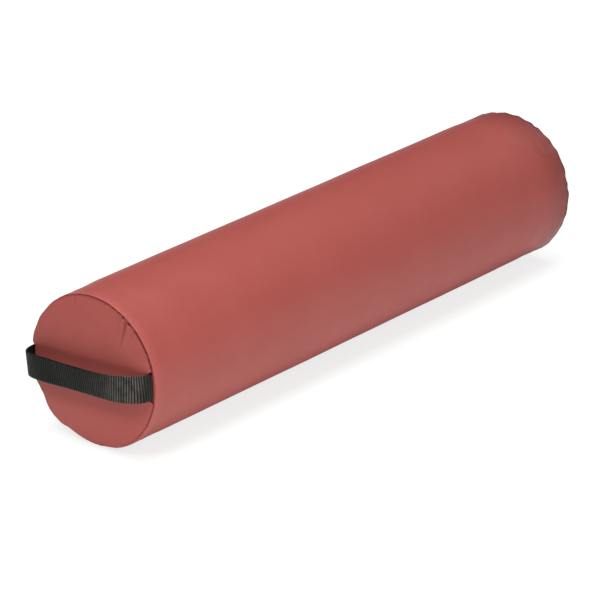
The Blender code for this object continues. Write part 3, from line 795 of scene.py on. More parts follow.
class Filling:
    """How far the foam and the tight sewing push the cover out or pull it in, from a cloth simulation.

    A plain sheet in the cover's shape is held at both seams, cut a little too large and blown up. The foam
    keeps its real movement small, so what each point moves is taken down and capped softly.
    """

    CAP = 0.4 * MM
    TAKEN_DOWN = 6
    SLACK = 0.012
    VOXEL = 6 * MM
    FRAMES = 20

    def __init__(self):
        self.tree = None
        obj = self.sheet()
        rest = [vertex.co.copy() for vertex in obj.data.vertices]
        self.add_cloth(obj, rest)
        scene = bpy.context.scene
        for number in range(1, self.FRAMES + 1):
            scene.frame_set(number)
        graph = bpy.context.evaluated_depsgraph_get()
        moved = [vertex.co.copy() for vertex in obj.evaluated_get(graph).data.vertices]
        scene.frame_set(1)
        bpy.data.objects.remove(obj)
        self.moves = []
        self.tree = kdtree.KDTree(len(rest))
        for index, (place, now) in enumerate(zip(rest, moved)):
            self.tree.insert(place, index)
            self.moves.append((now - place).dot(self.outward(place)))
        self.tree.balance()

    @staticmethod
    def outward(place):
        """Away from the foam: along X on the ends, away from the axis on the tube."""
        across = Vector((0, place.y, place.z - AXIS_HEIGHT))
        on_end = SEAM_X - abs(place.x) < 0.7 * (TUBE_RADIUS - across.length)
        return Vector((math.copysign(1, place.x), 0, 0)) if on_end else across.normalized()

    def sheet(self):
        """The cover as one closed shell with even faces."""
        half = [(SEAM_X + 1 * MM, 0.0), (SEAM_X + 0.6 * MM, 0.04), (SEAM_X, RIM_RADIUS - 2 * MM)]
        half += [(SEAM_X - 1 * MM, RIM_RADIUS), (SEAM_X - NEAR_SHOULDER, TUBE_RADIUS)]
        profile = [(-x, r) for x, r in half] + half[::-1]
        shape = bmesh.new()
        turn_profile(shape, profile, 96)
        bmesh.ops.recalc_face_normals(shape, faces=shape.faces)
        mesh = make_mesh("cover_sheet", shape)
        obj = link_object("cover_sheet", mesh)
        remesh = obj.modifiers.new("Remesh", "REMESH")
        remesh.mode = "VOXEL"
        remesh.voxel_size = self.VOXEL
        graph = bpy.context.evaluated_depsgraph_get()
        even = bpy.data.meshes.new_from_object(obj.evaluated_get(graph))
        obj.modifiers.clear()
        obj.data = even
        bpy.data.meshes.remove(mesh)
        return obj

    def add_cloth(self, obj, rest):
        seams = obj.vertex_groups.new(name="seams")
        for index, place in enumerate(rest):
            radius = math.hypot(place.y, place.z - AXIS_HEIGHT)
            if math.hypot(abs(place.x) - SEAM_X, radius - RIM_RADIUS) < 4 * MM:
                seams.add([index], 1.0, "REPLACE")
        cloth = obj.modifiers.new("Cloth", "CLOTH")
        cloth.collision_settings.use_collision = False
        cloth.point_cache.frame_start = 1
        cloth.point_cache.frame_end = self.FRAMES
        settings = cloth.settings
        settings.use_pressure = True
        settings.uniform_pressure_force = 4
        settings.effector_weights.gravity = 0
        settings.vertex_group_mass = "seams"
        settings.tension_stiffness = 40
        settings.compression_stiffness = 40
        settings.shear_stiffness = 13
        settings.bending_stiffness = 2
        settings.shrink_min = -self.SLACK
        settings.mass = 0.5
        settings.quality = 6

    def push(self, point):
        """How far the cover stands out at a point: the four nearest simulated points, blended and capped."""
        if self.tree is None:
            return 0.0
        near = self.tree.find_n(point, 4)
        weights = [1 / (distance + 1 * MM) for _, _, distance in near]
        move = sum(w * self.moves[index] for w, (_, index, _) in zip(weights, near)) / sum(weights)
        return self.CAP * math.tanh(move / (self.TAKEN_DOWN * self.CAP))


FILLING = Filling()


def foam_dents(point):
    """Unevenness of the foam under the tight cover: the simulated push, and slow dents of its own."""
    slow = noise.noise(point * 17)
    quick = noise.noise(point * 46 + Vector((3, 5, 7)))
    return FILLING.push(point) + 0.2 * MM * slow + 0.06 * MM * quick


def flatten(point):
    """Rests a point on the floor where the tube would reach below it."""
    if point.z < 0:
        point.z = 0
    return point


# The side cover


def spaced(first, last, step):
    """Even places from first up to, but not including, last."""
    count = max(1, round(abs(last - first) / step))
    return [first + (last - first) * i / count for i in range(count)]


def shoulder_radius(along, turn):
    """Radius of the tube: near its ends it is drawn in to the seam by a quarter ellipse."""
    start = SEAM_X - (NEAR_SHOULDER if along < 0 else FAR_SHOULDER)
    if abs(along) <= start:
        return TUBE_RADIUS
    rim = rim_radius(along, turn)
    share = min(1.0, (abs(along) - start) / (SIDE_END - start))
    return rim + (TUBE_RADIUS - rim) * math.sqrt(1 - share * share)


def side_rows():
    """X of each row of the side cover's grid, closer where the cover bends."""
    start = SEAM_X - NEAR_SHOULDER
    angles = (90, 78, 66, 55, 45, 35, 25, 16, 8)
    arc = [start + (SIDE_END - start) * math.sin(math.radians(angle)) for angle in angles]
    half = arc + spaced(start, start - 26 * MM, 1.6 * MM)
    half += spaced(start - 26 * MM, WINDOW_LENGTH + 3 * MM, 4 * MM)
    half += spaced(WINDOW_LENGTH + 3 * MM, WINDOW_LENGTH - 3 * MM, 0.6 * MM)
    half += spaced(WINDOW_LENGTH - 3 * MM, 0, 8 * MM)
    return [-x for x in half] + [0.0] + half[::-1]


def side_columns():
    """Arc length, from the zip's middle, of each column: finer beside the zip."""
    half = spaced(0, 13 * MM, 0.5 * MM) + spaced(13 * MM, WHOLE_ARC / 2, 1.55 * MM)
    return half + [WHOLE_ARC / 2] + [WHOLE_ARC - arc for arc in half[::-1]]


def window_edge(along):
    """Distance from the zip's middle to the edge of the cover."""
    inside = 1 - smooth_step(WINDOW_LENGTH - 0.6 * MM, WINDOW_LENGTH + 0.6 * MM, abs(along))
    return SLIT + (WINDOW_WIDTH - SLIT) * inside


def side_relief(along, turn, point):
    """How far the side cover stands out of, or in from, a true tube."""
    relief = foam_dents(point)
    gathers = NEAR_GATHERS if along < 0 else FAR_GATHERS
    inward = max(0.0, SIDE_END - abs(along))
    drawn = (TUBE_RADIUS - rim_radius(along, turn)) * math.exp(-inward / (18 * MM))
    relief -= 0.45 * drawn * smooth_step(0, 5 * MM, inward)
    relief -= gathers.crease(turn, inward, False) * smooth_step(0, 1.5 * MM, inward)
    return relief


def pull_room(arc, along):
    """How far the cover sinks beyond the far end of the zip, to clear the pull when the slider is there."""
    near = smooth_step(WINDOW_LENGTH - 6 * MM, WINDOW_LENGTH, along)
    beyond = smooth_step(WINDOW_LENGTH + 15 * MM, WINDOW_LENGTH + 24 * MM, along)
    return PULL_SINK * near * (1 - beyond) * bell(arc, 7 * MM, 4)


def zip_relief(arc, along):
    """The hems beside the zip: pressed down along the stitching and a little proud between it and the fold.

    Beyond the far end of the zip the cover sinks for the pull.
    """
    inside = 1 - smooth_step(WINDOW_LENGTH + 6 * MM, WINDOW_LENGTH + 14 * MM, abs(along))
    hem_end = WINDOW_WIDTH + HEM_WIDTH
    doubled = 1 - smooth_step(hem_end - 1.5 * MM, hem_end + 1.5 * MM, arc)
    groove = bell(arc - WINDOW_WIDTH - STITCH_INSET, 0.75 * MM)
    proud = bell(arc - WINDOW_WIDTH - 1.2 * MM, 1.6 * MM)
    relief = 0.22 * MM * doubled - 0.42 * MM * groove + 0.12 * MM * proud
    return inside * relief - pull_room(arc, along)


def wrap_side(vertex):
    """Moves a vertex of the flat cover, at (X, arc, -depth), to its place round the foam."""
    along, arc, depth = vertex.co.x, vertex.co.y, -vertex.co.z
    turn = arc / TUBE_RADIUS
    radius = shoulder_radius(along, turn)
    point = at_turn(along, radius, turn)
    from_zip = min(arc, WHOLE_ARC - arc)
    out = radius + side_relief(along, turn, point) + zip_relief(from_zip, along) - depth
    inward = SIDE_END - abs(along)
    held = math.exp(-inward / (3 * MM)) * beside_strap(turn) if along < 0 else 0.0
    back = pulled_back(along, turn) * math.exp(-inward / (12 * MM))
    vertex.co = flatten(at_turn(along + held * HANDLE_ROOM + back, out, turn))


def grid_sheet(rows, columns):
    """A flat sheet with a vertex for each row and column, and the row and column of each vertex."""
    shape = bmesh.new()
    last_row, last_column = len(rows) - 1, len(columns) - 1
    bmesh.ops.create_grid(shape, x_segments=last_row, y_segments=last_column, size=0.5)
    placed = []
    for vertex in shape.verts:
        row = rows[round((vertex.co.x + 0.5) * last_row)]
        column = columns[round((vertex.co.y + 0.5) * last_column)]
        placed.append((vertex, row, column))
    return shape, placed


def flat_cover():
    """The flat cover, with its columns drawn away from the opening over the zip."""
    shape, placed = grid_sheet(side_rows(), side_columns())
    spread = 24 * MM
    for vertex, along, arc in placed:
        from_zip = min(arc, WHOLE_ARC - arc)
        opened = (window_edge(along) + HEM_FOLD) * max(0.0, 1 - from_zip / spread)
        vertex.co = (along, arc + opened if arc < WHOLE_ARC / 2 else arc - opened, 0)
    return shape


def runs_along(edge):
    """Whether an edge of the flat cover runs along the bolster, not across its end."""
    return abs(edge.verts[0].co.x - edge.verts[1].co.x) > 1e-7


def fold_hems(shape, edges):
    """Folds both long edges of the flat cover under, beside the zip."""
    for inset, depth in ((0.3, 0.3), (0.0, 1.0), (0.3, 1.7), (1.0, 2.0), (HEM_WIDTH / HEM_FOLD, 2.0)):
        grown = bmesh.ops.extrude_edge_only(shape, edges=edges)["geom"]
        edges = [item for item in grown if isinstance(item, bmesh.types.BMEdge) and item.is_boundary]
        edges = [edge for edge in edges if runs_along(edge)]
        for vertex in {v for edge in edges for v in edge.verts}:
            below_zip = vertex.co.y > WHOLE_ARC / 2
            distance = window_edge(vertex.co.x) + inset * HEM_FOLD
            vertex.co.y = WHOLE_ARC - distance if below_zip else distance
            vertex.co.z = -depth * HEM_FOLD


def turn_in_ends(shape, edges):
    """Turns the seam allowance in at both ends of the flat cover."""
    for depth in (1.5 * MM, 4 * MM, ALLOWANCE):
        grown = bmesh.ops.extrude_edge_only(shape, edges=edges)["geom"]
        vertices = {item for item in grown if isinstance(item, bmesh.types.BMVert)}
        edges = [item for item in grown if isinstance(item, bmesh.types.BMEdge)]
        edges = [edge for edge in edges if set(edge.verts) <= vertices]
        for vertex in vertices:
            vertex.co.z = -depth


def side_cover():
    """The tube of the cover: a flat sheet with folded hems, wrapped round the foam."""
    shape = flat_cover()
    border = [edge for edge in shape.edges if edge.is_boundary]
    end_edges = [edge for edge in border if not runs_along(edge)]
    fold_hems(shape, [edge for edge in border if runs_along(edge)])
    turn_in_ends(shape, end_edges)
    for vertex in shape.verts:
        wrap_side(vertex)
    face_out(shape)
    obj = add_piece("side_cover", shape, "cover_vinyl", replaced=["side_panel"])
    thicken(obj, VINYL)


# The end covers


def crown(radius):
    """How far the foam pushes an end out at a distance from the axis."""
    return END_DOME * (1 - (radius / (SEAM_RADIUS - FOLD_RADIUS)) ** 2)


def end_profile():
    """(distance beyond the seam's plane, radius) from the middle of an end cover to its turned-in edge."""
    rim, rise = 2.6 * MM, 1.0 * MM
    centre = SEAM_RADIUS - rim
    radii = [0.0] + spaced(6 * MM, 40 * MM, 5 * MM) + spaced(40 * MM, 64 * MM, 2.0 * MM)
    radii += spaced(64 * MM, centre, 1.2 * MM)
    face = [(FOLD_RADIUS + crown(r), r) for r in radii]
    low = FOLD_RADIUS + crown(centre) - rise
    arc = [
        (low + rise * math.cos(a), centre + rim * math.sin(a))
        for a in (math.radians(d) for d in range(0, 91, 10))
    ]
    turned = [(low - 0.3 * MM, SEAM_RADIUS - 0.3 * MM), (low - 0.6 * MM, SEAM_RADIUS - 1.1 * MM)]
    turned += [(-FOLD_RADIUS, SEAM_RADIUS - r) for r in (2.4 * MM, 4 * MM, 7 * MM, ALLOWANCE)]
    return face + arc + turned


def end_relief(radius, turn, gathers, point):
    """How far an end cover stands out of, or in from, its plain crown."""
    inward = max(0.0, SEAM_RADIUS - radius)
    drawn = 0.25 * gathers.draw * gathers.scallop(turn) * bell(inward, 9 * MM)
    return 1.1 * foam_dents(point) - gathers.crease(turn, inward, True) - drawn


def end_cover(name, end, gathers, replaced):
    """A round end of the cover, crowned over the foam and turned in at its seam. end is -1 near, 1 far."""
    shape = bmesh.new()
    turn_profile(shape, [(end * (SEAM_X + out), radius) for out, radius in end_profile()], END_COLUMNS)
    for vertex in shape.verts:
        out = end * vertex.co.x - SEAM_X
        radius = math.hypot(vertex.co.y, vertex.co.z - AXIS_HEIGHT)
        turn = turn_of(vertex.co)
        inward = SEAM_RADIUS - radius
        shown = smooth_step(-FOLD_RADIUS, 0.4 * MM, out)
        out += end_relief(radius, turn, gathers, vertex.co.copy()) * shown
        out -= pulled_back(end, turn) * smooth_step(28 * MM, 0, inward)
        seam, at_rim = rim_radius(end, turn), smooth_step(ALLOWANCE, 0, inward)
        radius += (seam - SEAM_RADIUS) * at_rim
        if end < 0:
            by_handle = beside_strap(turn) * at_rim
            radius -= (seam - STRAP_REACH + STRAP_THICKNESS / 2 + 0.2 * MM) * by_handle
            out += 0.3 * MM * by_handle
        vertex.co = flatten(at_turn(end * (SEAM_X + out), radius, turn))
    face_out(shape)
    obj = add_piece(name, shape, "cover_vinyl", replaced=[replaced])
    thicken(obj, VINYL)


# Sewing


def stitch_shape():
    """Points and faces of one stitch: a small capsule one unit long and wide, along X."""
    capsule = bmesh.new()
    lying = Matrix.Rotation(math.pi / 2, 4, "Y")
    bmesh.ops.create_uvsphere(capsule, u_segments=6, v_segments=5, radius=0.5, matrix=lying)
    capsule.verts.index_update()
    points = [vertex.co.copy() for vertex in capsule.verts]
    faces = [[vertex.index for vertex in face.verts] for face in capsule.faces]
    capsule.free()
    return points, faces


def along_line(points, count, share):
    """Divides a line of points into even parts, and gives a (place, direction) in each.

    Share is how far through its part each place lies.
    """
    spans = [(b - a).length for a, b in zip(points, points[1:])]
    pitch = sum(spans) / count
    index, walked = 0, 0.0
    for i in range(count):
        goal = pitch * (i + share)
        while index < len(spans) - 1 and walked + spans[index] < goal:
            walked += spans[index]
            index += 1
        start, end = points[index], points[index + 1]
        yield start.lerp(end, (goal - walked) / spans[index]), (end - start).normalized()


def line_length(points):
    return sum((b - a).length for a, b in zip(points, points[1:]))


def stitch_row(name, path, replaced, stitch=STITCH, gap=STITCH_GAP, radius=THREAD_RADIUS):
    """A row of short stitches along a path of world points, each a small capsule."""
    length = line_length(path)
    count = max(1, round(length / (stitch + gap)))
    scale = Matrix.Diagonal((length / count - gap, 2 * radius, 2 * radius, 1))
    shape = bmesh.new()
    capsule, faces = stitch_shape()
    for place, run in along_line(path, count, 0.5):
        put = Matrix.Translation(place) @ run.to_track_quat("X", "Z").to_matrix().to_4x4() @ scale
        corners = [shape.verts.new(put @ corner) for corner in capsule]
        for face in faces:
            shape.faces.new([corners[k] for k in face])
    add_piece(name, shape, "thread", replaced=replaced)


def end_seam_path(end, first, last):
    """The path of an end seam's thread between two turns, just behind the seam and below the surface."""
    path = []
    steps = 96
    for i in range(steps + 1):
        turn = first + (last - first) * i / steps
        along = end * (SEAM_X - 1.3 * MM - pulled_back(end, turn))
        path.append(at_turn(along, rim_radius(end, turn) - 0.7 * MM, turn))
    return path


def window_path():
    """The path of the stitching round the zip's window."""
    radius = TUBE_RADIUS - 0.1 * MM
    side = math.asin((WINDOW_WIDTH + STITCH_INSET) / radius)
    reach = WINDOW_LENGTH + STITCH_INSET
    corners = [(-reach, -side), (reach, -side), (reach, side), (-reach, side)]
    path = []
    for (x0, turn0), (x1, turn1) in zip(corners, corners[1:] + corners[:1]):
        steps = 40 if x0 != x1 else 8
        for i in range(steps):
            along, turn = x0 + (x1 - x0) * i / steps, turn0 + (turn1 - turn0) * i / steps
            path.append(at_turn(along, radius - pull_room(abs(turn) * TUBE_RADIUS, along), turn))
    return path + path[:1]


def sewing():
    stitch_row("far_seam_stitches", end_seam_path(1, 0, 2 * math.pi), ["seam_thread_far"])
    half = math.asin((STRAP_WIDTH / 2 + 1 * MM) / SEAM_RADIUS)
    back, front = STRAP_TURNS
    upper, lower = (back + half, front - half), (front + half, back + 2 * math.pi - half)
    for word, turns in (("upper", upper), ("lower", lower)):
        stitch_row(f"near_{word}_seam_stitches", end_seam_path(-1, *turns), [f"seam_thread_near_{word}"])
    stitch_row("zip_stitches", window_path(), ["zip_topstitch"], radius=1.15 * THREAD_RADIUS)
    for word in ("near", "far"):
        low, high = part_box(f"side_seam_thread_{word}")
        path = [at_turn(along, TUBE_RADIUS - 0.55 * MM, 0) for along in (low.x, high.x)]
        stitch_row(f"{word}_side_seam_stitches", path, [f"side_seam_thread_{word}"])


# The handle


# The handle's middle line from above: shares of its reach to the side, and of how far it stands off the end
STRAP_LOOP = (
    (0.993, 0.27),
    (0.964, 0.54),
    (0.893, 0.75),
    (0.72, 0.87),
    (0.42, 0.92),
    (0.0, 0.97),
    (-0.43, 1.0),
    (-0.675, 0.90),
    (-0.87, 0.61),
    (-0.964, 0.28),
)


def smooth_curve(points, step):
    """A smooth curve through points, as shorter steps: each stretch heads the way its neighbours lie."""
    curve = []
    for i in range(len(points) - 1):
        before, start = points[max(i - 1, 0)], points[i]
        end, after = points[i + 1], points[min(i + 2, len(points) - 1)]
        steps = max(2, round((end - start).length / step))
        for k in range(steps):
            t = k / steps
            curve.append(
                start * (1 - 2.5 * t**2 + 1.5 * t**3)
                + before * (-0.5 * t + t**2 - 0.5 * t**3)
                + end * (0.5 * t + 2 * t**2 - 1.5 * t**3)
                + after * (-0.5 * t**2 + 0.5 * t**3)
            )
    return curve + [points[-1]]


def strap_line():
    """Even points (X, Y) of the handle's middle line, from its tail inside the cover at +Y to that at -Y."""
    tail_end = SEAM_RADIUS - ALLOWANCE
    tail = [(tail_end, -STRAP_TAIL), ((STRAP_REACH + tail_end) / 2, -STRAP_TAIL)]
    for turn in (math.radians(angle) for angle in (0, 30, 60, 90)):
        side = STRAP_REACH - STRAP_BEND + STRAP_BEND * math.sin(turn)
        tail.append((side, STRAP_BEND * (1 - math.cos(turn)) - STRAP_TAIL))
    points = tail + [(side * STRAP_REACH, out * STRAP_STAND_OFF) for side, out in STRAP_LOOP]
    points += [(-side, out) for side, out in reversed(tail)]
    curve = smooth_curve([Vector((-SEAM_X - out, side)) for side, out in points], 0.25 * MM)
    count = round(line_length(curve) / STRAP_STEP)
    return [place for place, _ in along_line(curve, count, 0)] + [curve[-1]]


def strap_lean(across):
    """Tilt of the webbing about its own line: its face turns up in front and down in the middle."""
    share = abs(across) / STRAP_REACH
    held = 1 - smooth_step(0.93, 1.0, share)
    most = 13 if across < 0 else -3
    in_middle = 1 - smooth_step(0.2, 0.6, share)
    return math.radians(most * smooth_step(0.45, 0.9, share) * held - 6 * in_middle)


def webbing_thickness(along, across):
    """A share of the webbing's thickness: most on a rib's crest, less between ribs and at the edges."""
    rib = math.sin(math.pi * (along / RIB_PITCH % 1)) ** 0.6
    yarn = abs(math.sin(math.pi * across / YARN_PITCH))
    inside = smooth_step(0, 0.9 * MM, STRAP_WIDTH / 2 - abs(across))
    return (0.36 + 0.58 * rib + 0.06 * rib * yarn) * (0.45 + 0.55 * inside)


def handle():
    """The webbing handle: a flat grid along its line, ribbed by uneven thickness."""
    line = strap_line()
    last = len(line) - 1
    shares = [i / (STRAP_COLUMNS - 1) - 0.5 for i in range(STRAP_COLUMNS)]
    shape, placed = grid_sheet(range(len(line)), shares)
    cloth = shape.loops.layers.uv.new("cloth")
    for face in shape.faces:
        for loop in face.loops:
            place = loop.vert.co
            loop[cloth].uv = ((place.y + 0.5) * STRAP_WIDTH, (place.x + 0.5) * last * STRAP_STEP)
    thickness = []
    for vertex, row, share in placed:
        across, point = share * STRAP_WIDTH, line[row]
        thickness.append(webbing_thickness(row * STRAP_STEP, across))
        run = (line[min(row + 1, last)] - line[max(row - 1, 0)]).normalized()
        out = Vector((-run.y, run.x))
        if out.x > 0:
            out = -out
        lean = strap_lean(point.y)
        rise = Vector((-out.x * math.sin(lean), -out.y * math.sin(lean), math.cos(lean)))
        place = Vector((point.x, point.y, 0)) + rise * across
        vertex.co = middle_point() + Matrix.Rotation(STRAP_ROLL, 3, "X") @ place
    bmesh.ops.recalc_face_normals(shape, faces=shape.faces)
    obj = add_piece("webbing_handle", shape, "webbing", replaced=["handle_strap"])
    group = obj.vertex_groups.new(name="thickness")
    for index, weight in enumerate(thickness):
        group.add([index], weight, "REPLACE")
    wall = obj.modifiers.new("Wall", "SOLIDIFY")
    wall.thickness = STRAP_THICKNESS
    wall.offset = 0
    wall.vertex_group = "thickness"


# The zip


def coil_line(side, first, last):
    """Points of one row's wire, wound flat: (X, out, across) for each bend of each turn."""
    low, high = COIL_BASE + COIL_WIRE, COIL_TOP - COIL_WIRE
    middle = (low + high) / 2
    outer = COIL_EDGE - COIL_WIRE
    stagger = COIL_PITCH / 2 if side < 0 else 0
    points = []
    for turn in range(int((last - first) / COIL_PITCH)):
        start = first + turn * COIL_PITCH + stagger
        head = -HEAD_REACH if start > TEETH_PARTED else HEAD_PARTED
        bends = (
            (0.00, outer - 0.3 * MM, low),
            (0.10, 1.6 * MM, low),
            (0.22, head + 0.45 * MM, low),
            (0.36, head, low + 0.2 * MM),
            (0.50, head - 0.02 * MM, middle),
            (0.64, head, high - 0.2 * MM),
            (0.76, head + 0.45 * MM, high),
            (0.88, 1.6 * MM, high),
            (0.94, outer - 0.3 * MM, high),
            (0.97, outer, middle),
        )
        for share, across, out in bends:
            lean = 0.5 + 0.32 * math.sin(2 * math.pi * (share - 0.5))
            along = start + COIL_PITCH * (0.55 * share + 0.45 * lean)
            points.append((along, out, AXIS_HEIGHT + side * across))
    return points


def wire_shape(points, radius):
    """A round wire along a line of points."""
    data = bpy.data.curves.new("wire", "CURVE")
    data.dimensions = "3D"
    data.bevel_depth = radius
    data.bevel_resolution = 1
    data.use_fill_caps = True
    spline = data.splines.new("POLY")
    spline.points.add(len(points) - 1)
    for point, place in zip(spline.points, points):
        point.co = (*place, 1)
    wire = link_object("wire", data)
    graph = bpy.context.evaluated_depsgraph_get()
    mesh = bpy.data.meshes.new_from_object(wire.evaluated_get(graph))
    bpy.data.objects.remove(wire)
    shape = bmesh.new()
    shape.from_mesh(mesh)
    bpy.data.meshes.remove(mesh)
    bmesh.ops.remove_doubles(shape, verts=shape.verts, dist=1e-7)
    return shape


def zip_row(side):
    """One row of the coil: a wire wound flat round a cord, its heads reaching between the other row's."""
    word = "upper" if side > 0 else "lower"
    first, last = coil_low.x + COIL_PITCH, coil_high.x - COIL_PITCH
    shape = wire_shape(coil_line(side, first, last), COIL_WIRE)
    cord_radius = COIL_TOP - COIL_BASE - 3 * COIL_WIRE
    cord_across = AXIS_HEIGHT + side * (COIL_EDGE - COIL_WIRE - 0.95 * MM)
    cord = Matrix.Translation(((first + last) / 2, (COIL_BASE + COIL_TOP) / 2, cord_across))
    bmesh.ops.create_cone(
        shape,
        cap_ends=True,
        segments=8,
        radius1=cord_radius,
        radius2=cord_radius,
        depth=last - first,
        matrix=cord @ Matrix.Rotation(math.pi / 2, 4, "Y"),
    )
    add_piece(f"{word}_zip_coil", shape, "zip_coil", replaced=[f"zip_coil_{word}"])
    stitched = AXIS_HEIGHT + side * (COIL_EDGE - COIL_WIRE - 0.55 * MM)
    path = [Vector((along, COIL_TOP + 0.02 * MM, stitched)) for along in (first, last)]
    stitch_row(f"{word}_coil_stitches", path, (), 0.8 * COIL_PITCH, 0.2 * COIL_PITCH, 0.13 * MM)


def slider_outline(inset):
    """Plan of the slider's plates: wide shoulders towards the top stops and a narrower tail. (X, across)."""
    half = SLIDER_HALF - inset
    first, last = slider_low.x + inset, slider_high.x - inset
    turns = [math.radians(angle) for angle in (0, 22.5, 45, 67.5, 90)]
    drawn = [(SLIDER_CORNER * (1 - math.cos(turn)), SLIDER_CORNER * (1 - math.sin(turn))) for turn in turns]
    side = [(first + along, half - across) for along, across in drawn]
    side += [(last - along, half - 0.35 * MM - across) for along, across in reversed(drawn)]
    return side + [(along, -across) for along, across in reversed(side)]


def round_edges(shape, edges, width, segments):
    bmesh.ops.bevel(
        shape,
        geom=edges,
        offset=width,
        offset_type="OFFSET",
        segments=segments,
        profile=0.5,
        affect="EDGES",
        material=-1,
    )


def rim_edges(vertices):
    """The edges of a ring of vertices."""
    ring = set(vertices)
    return [edge for edge in {e for v in vertices for e in v.link_edges} if set(edge.verts) <= ring]


def plate(shape, outline, low, high, edge):
    """Adds a flat plate between two heights over the zip, with rounded edges."""
    vertices = [shape.verts.new((along, low, AXIS_HEIGHT + across)) for along, across in outline]
    face = shape.faces.new(vertices)
    grown = bmesh.ops.extrude_face_region(shape, geom=[face])["geom"]
    top = [item for item in grown if isinstance(item, bmesh.types.BMVert)]
    bmesh.ops.translate(shape, vec=(0, high - low, 0), verts=top)
    round_edges(shape, rim_edges(vertices) + rim_edges(top), edge, 3)


def block(shape, low, high, edge):
    """Adds a box between two corners given as (X, out, across), with rounded edges."""
    size = Vector(high) - Vector(low)
    place = (Vector(high) + Vector(low)) / 2 + middle_point()
    sized = Matrix.Translation(place) @ Matrix.Diagonal((*size, 1))
    made = bmesh.ops.create_cube(shape, matrix=sized)["verts"]
    round_edges(shape, list({e for v in made for e in v.link_edges}), edge, 2)


def slider():
    """Two plates round the teeth, joined by the wedge that parts them, with side flanges."""
    shape = bmesh.new()
    plate(shape, slider_outline(0), SLIDER_UNDERSIDE, SLIDER_TOP, 0.35 * MM)
    plate(shape, slider_outline(0.2 * MM), slider_low.y, slider_low.y + 1.0 * MM, 0.3 * MM)
    for side in (-1, 1):
        edges = sorted((side * (SLIDER_HALF - SLIDER_FLANGE), side * (SLIDER_HALF - 0.05 * MM)))
        low = (slider_low.x + 1.3 * MM, COIL_BASE, edges[0])
        high = (slider_high.x - 1.3 * MM, SLIDER_UNDERSIDE + 0.4 * MM, edges[1])
        block(shape, low, high, 0.25 * MM)
    wedge_low = (slider_low.x + 0.3 * MM, slider_low.y + 0.5 * MM, -0.3 * MM)
    wedge_high = (slider_low.x + 1.5 * MM, SLIDER_UNDERSIDE + 0.5 * MM, 0.3 * MM)
    block(shape, wedge_low, wedge_high, 0.12 * MM)
    obj = add_piece("slider", shape, "zip_metal", "slider", ["zip_slider"])
    obj.data.set_sharp_from_angle(angle=math.radians(35))


def bail():
    """The loop over the slider that holds the pull."""
    half = BAIL_LENGTH / 2 - BAIL_WIRE
    foot, top = SLIDER_TOP - 0.3 * MM, slider_high.y - BAIL_WIRE
    arch = [(-half, foot)]
    for turn in (math.radians(angle) for angle in range(0, 91, 15)):
        arch.append((BAIL_CORNER * (1 - math.cos(turn)) - half, top - BAIL_CORNER * (1 - math.sin(turn))))
    arch += [(-along, out) for along, out in reversed(arch)]
    shape = bmesh.new()
    rings = []
    sides = 12
    for index, (along, out) in enumerate(arch):
        before, after = arch[max(index - 1, 0)], arch[min(index + 1, len(arch) - 1)]
        run = Vector((after[0] - before[0], after[1] - before[1])).normalized()
        lift = Vector((-run.y, run.x))
        ring = []
        for turn in (2 * math.pi * step / sides for step in range(sides)):
            high, wide = BAIL_WIRE * math.sin(turn), BAIL_WIDTH / 2 * math.cos(turn)
            place = (PULL_HINGE.x + along + lift.x * high, out + lift.y * high, AXIS_HEIGHT + wide)
            ring.append(shape.verts.new(place))
        rings.append([shape.edges.new(pair) for pair in zip(ring, ring[1:] + ring[:1])])
    for first, second in zip(rings, rings[1:]):
        bmesh.ops.bridge_loops(shape, edges=first + second)
    bmesh.ops.holes_fill(shape, edges=shape.edges)
    bmesh.ops.recalc_face_normals(shape, faces=shape.faces)
    add_piece("slider_bail", shape, "zip_metal", "slider", ["zip_slider"])


def pull_outline():
    """Plan of the pull from its hinge, as (length, across): wide at the eye, then narrow to a round tip."""
    bar = PULL_THICKNESS / 2
    eye_half, eye_end = pull_eye()
    half = eye_half + PULL_ARM
    side = [(-bar, half - 0.4 * MM), (0, half), (eye_end, half), (eye_end + PULL_ARM, 3.5 * MM)]
    side.append((PULL_LENGTH - PULL_TIP, PULL_TIP))
    for turn in (math.radians(angle) for angle in (20, 40, 60, 80)):
        side.append((PULL_LENGTH - PULL_TIP + PULL_TIP * math.sin(turn), PULL_TIP * math.cos(turn)))
    return side + [(length, -across) for length, across in reversed(side)]


def pull_eye():
    """Half the width of the pull's eye round the bail, and how far from the hinge it ends."""
    return BAIL_WIDTH / 2 + 0.3 * MM, BAIL_LENGTH / 2 + 0.9 * MM


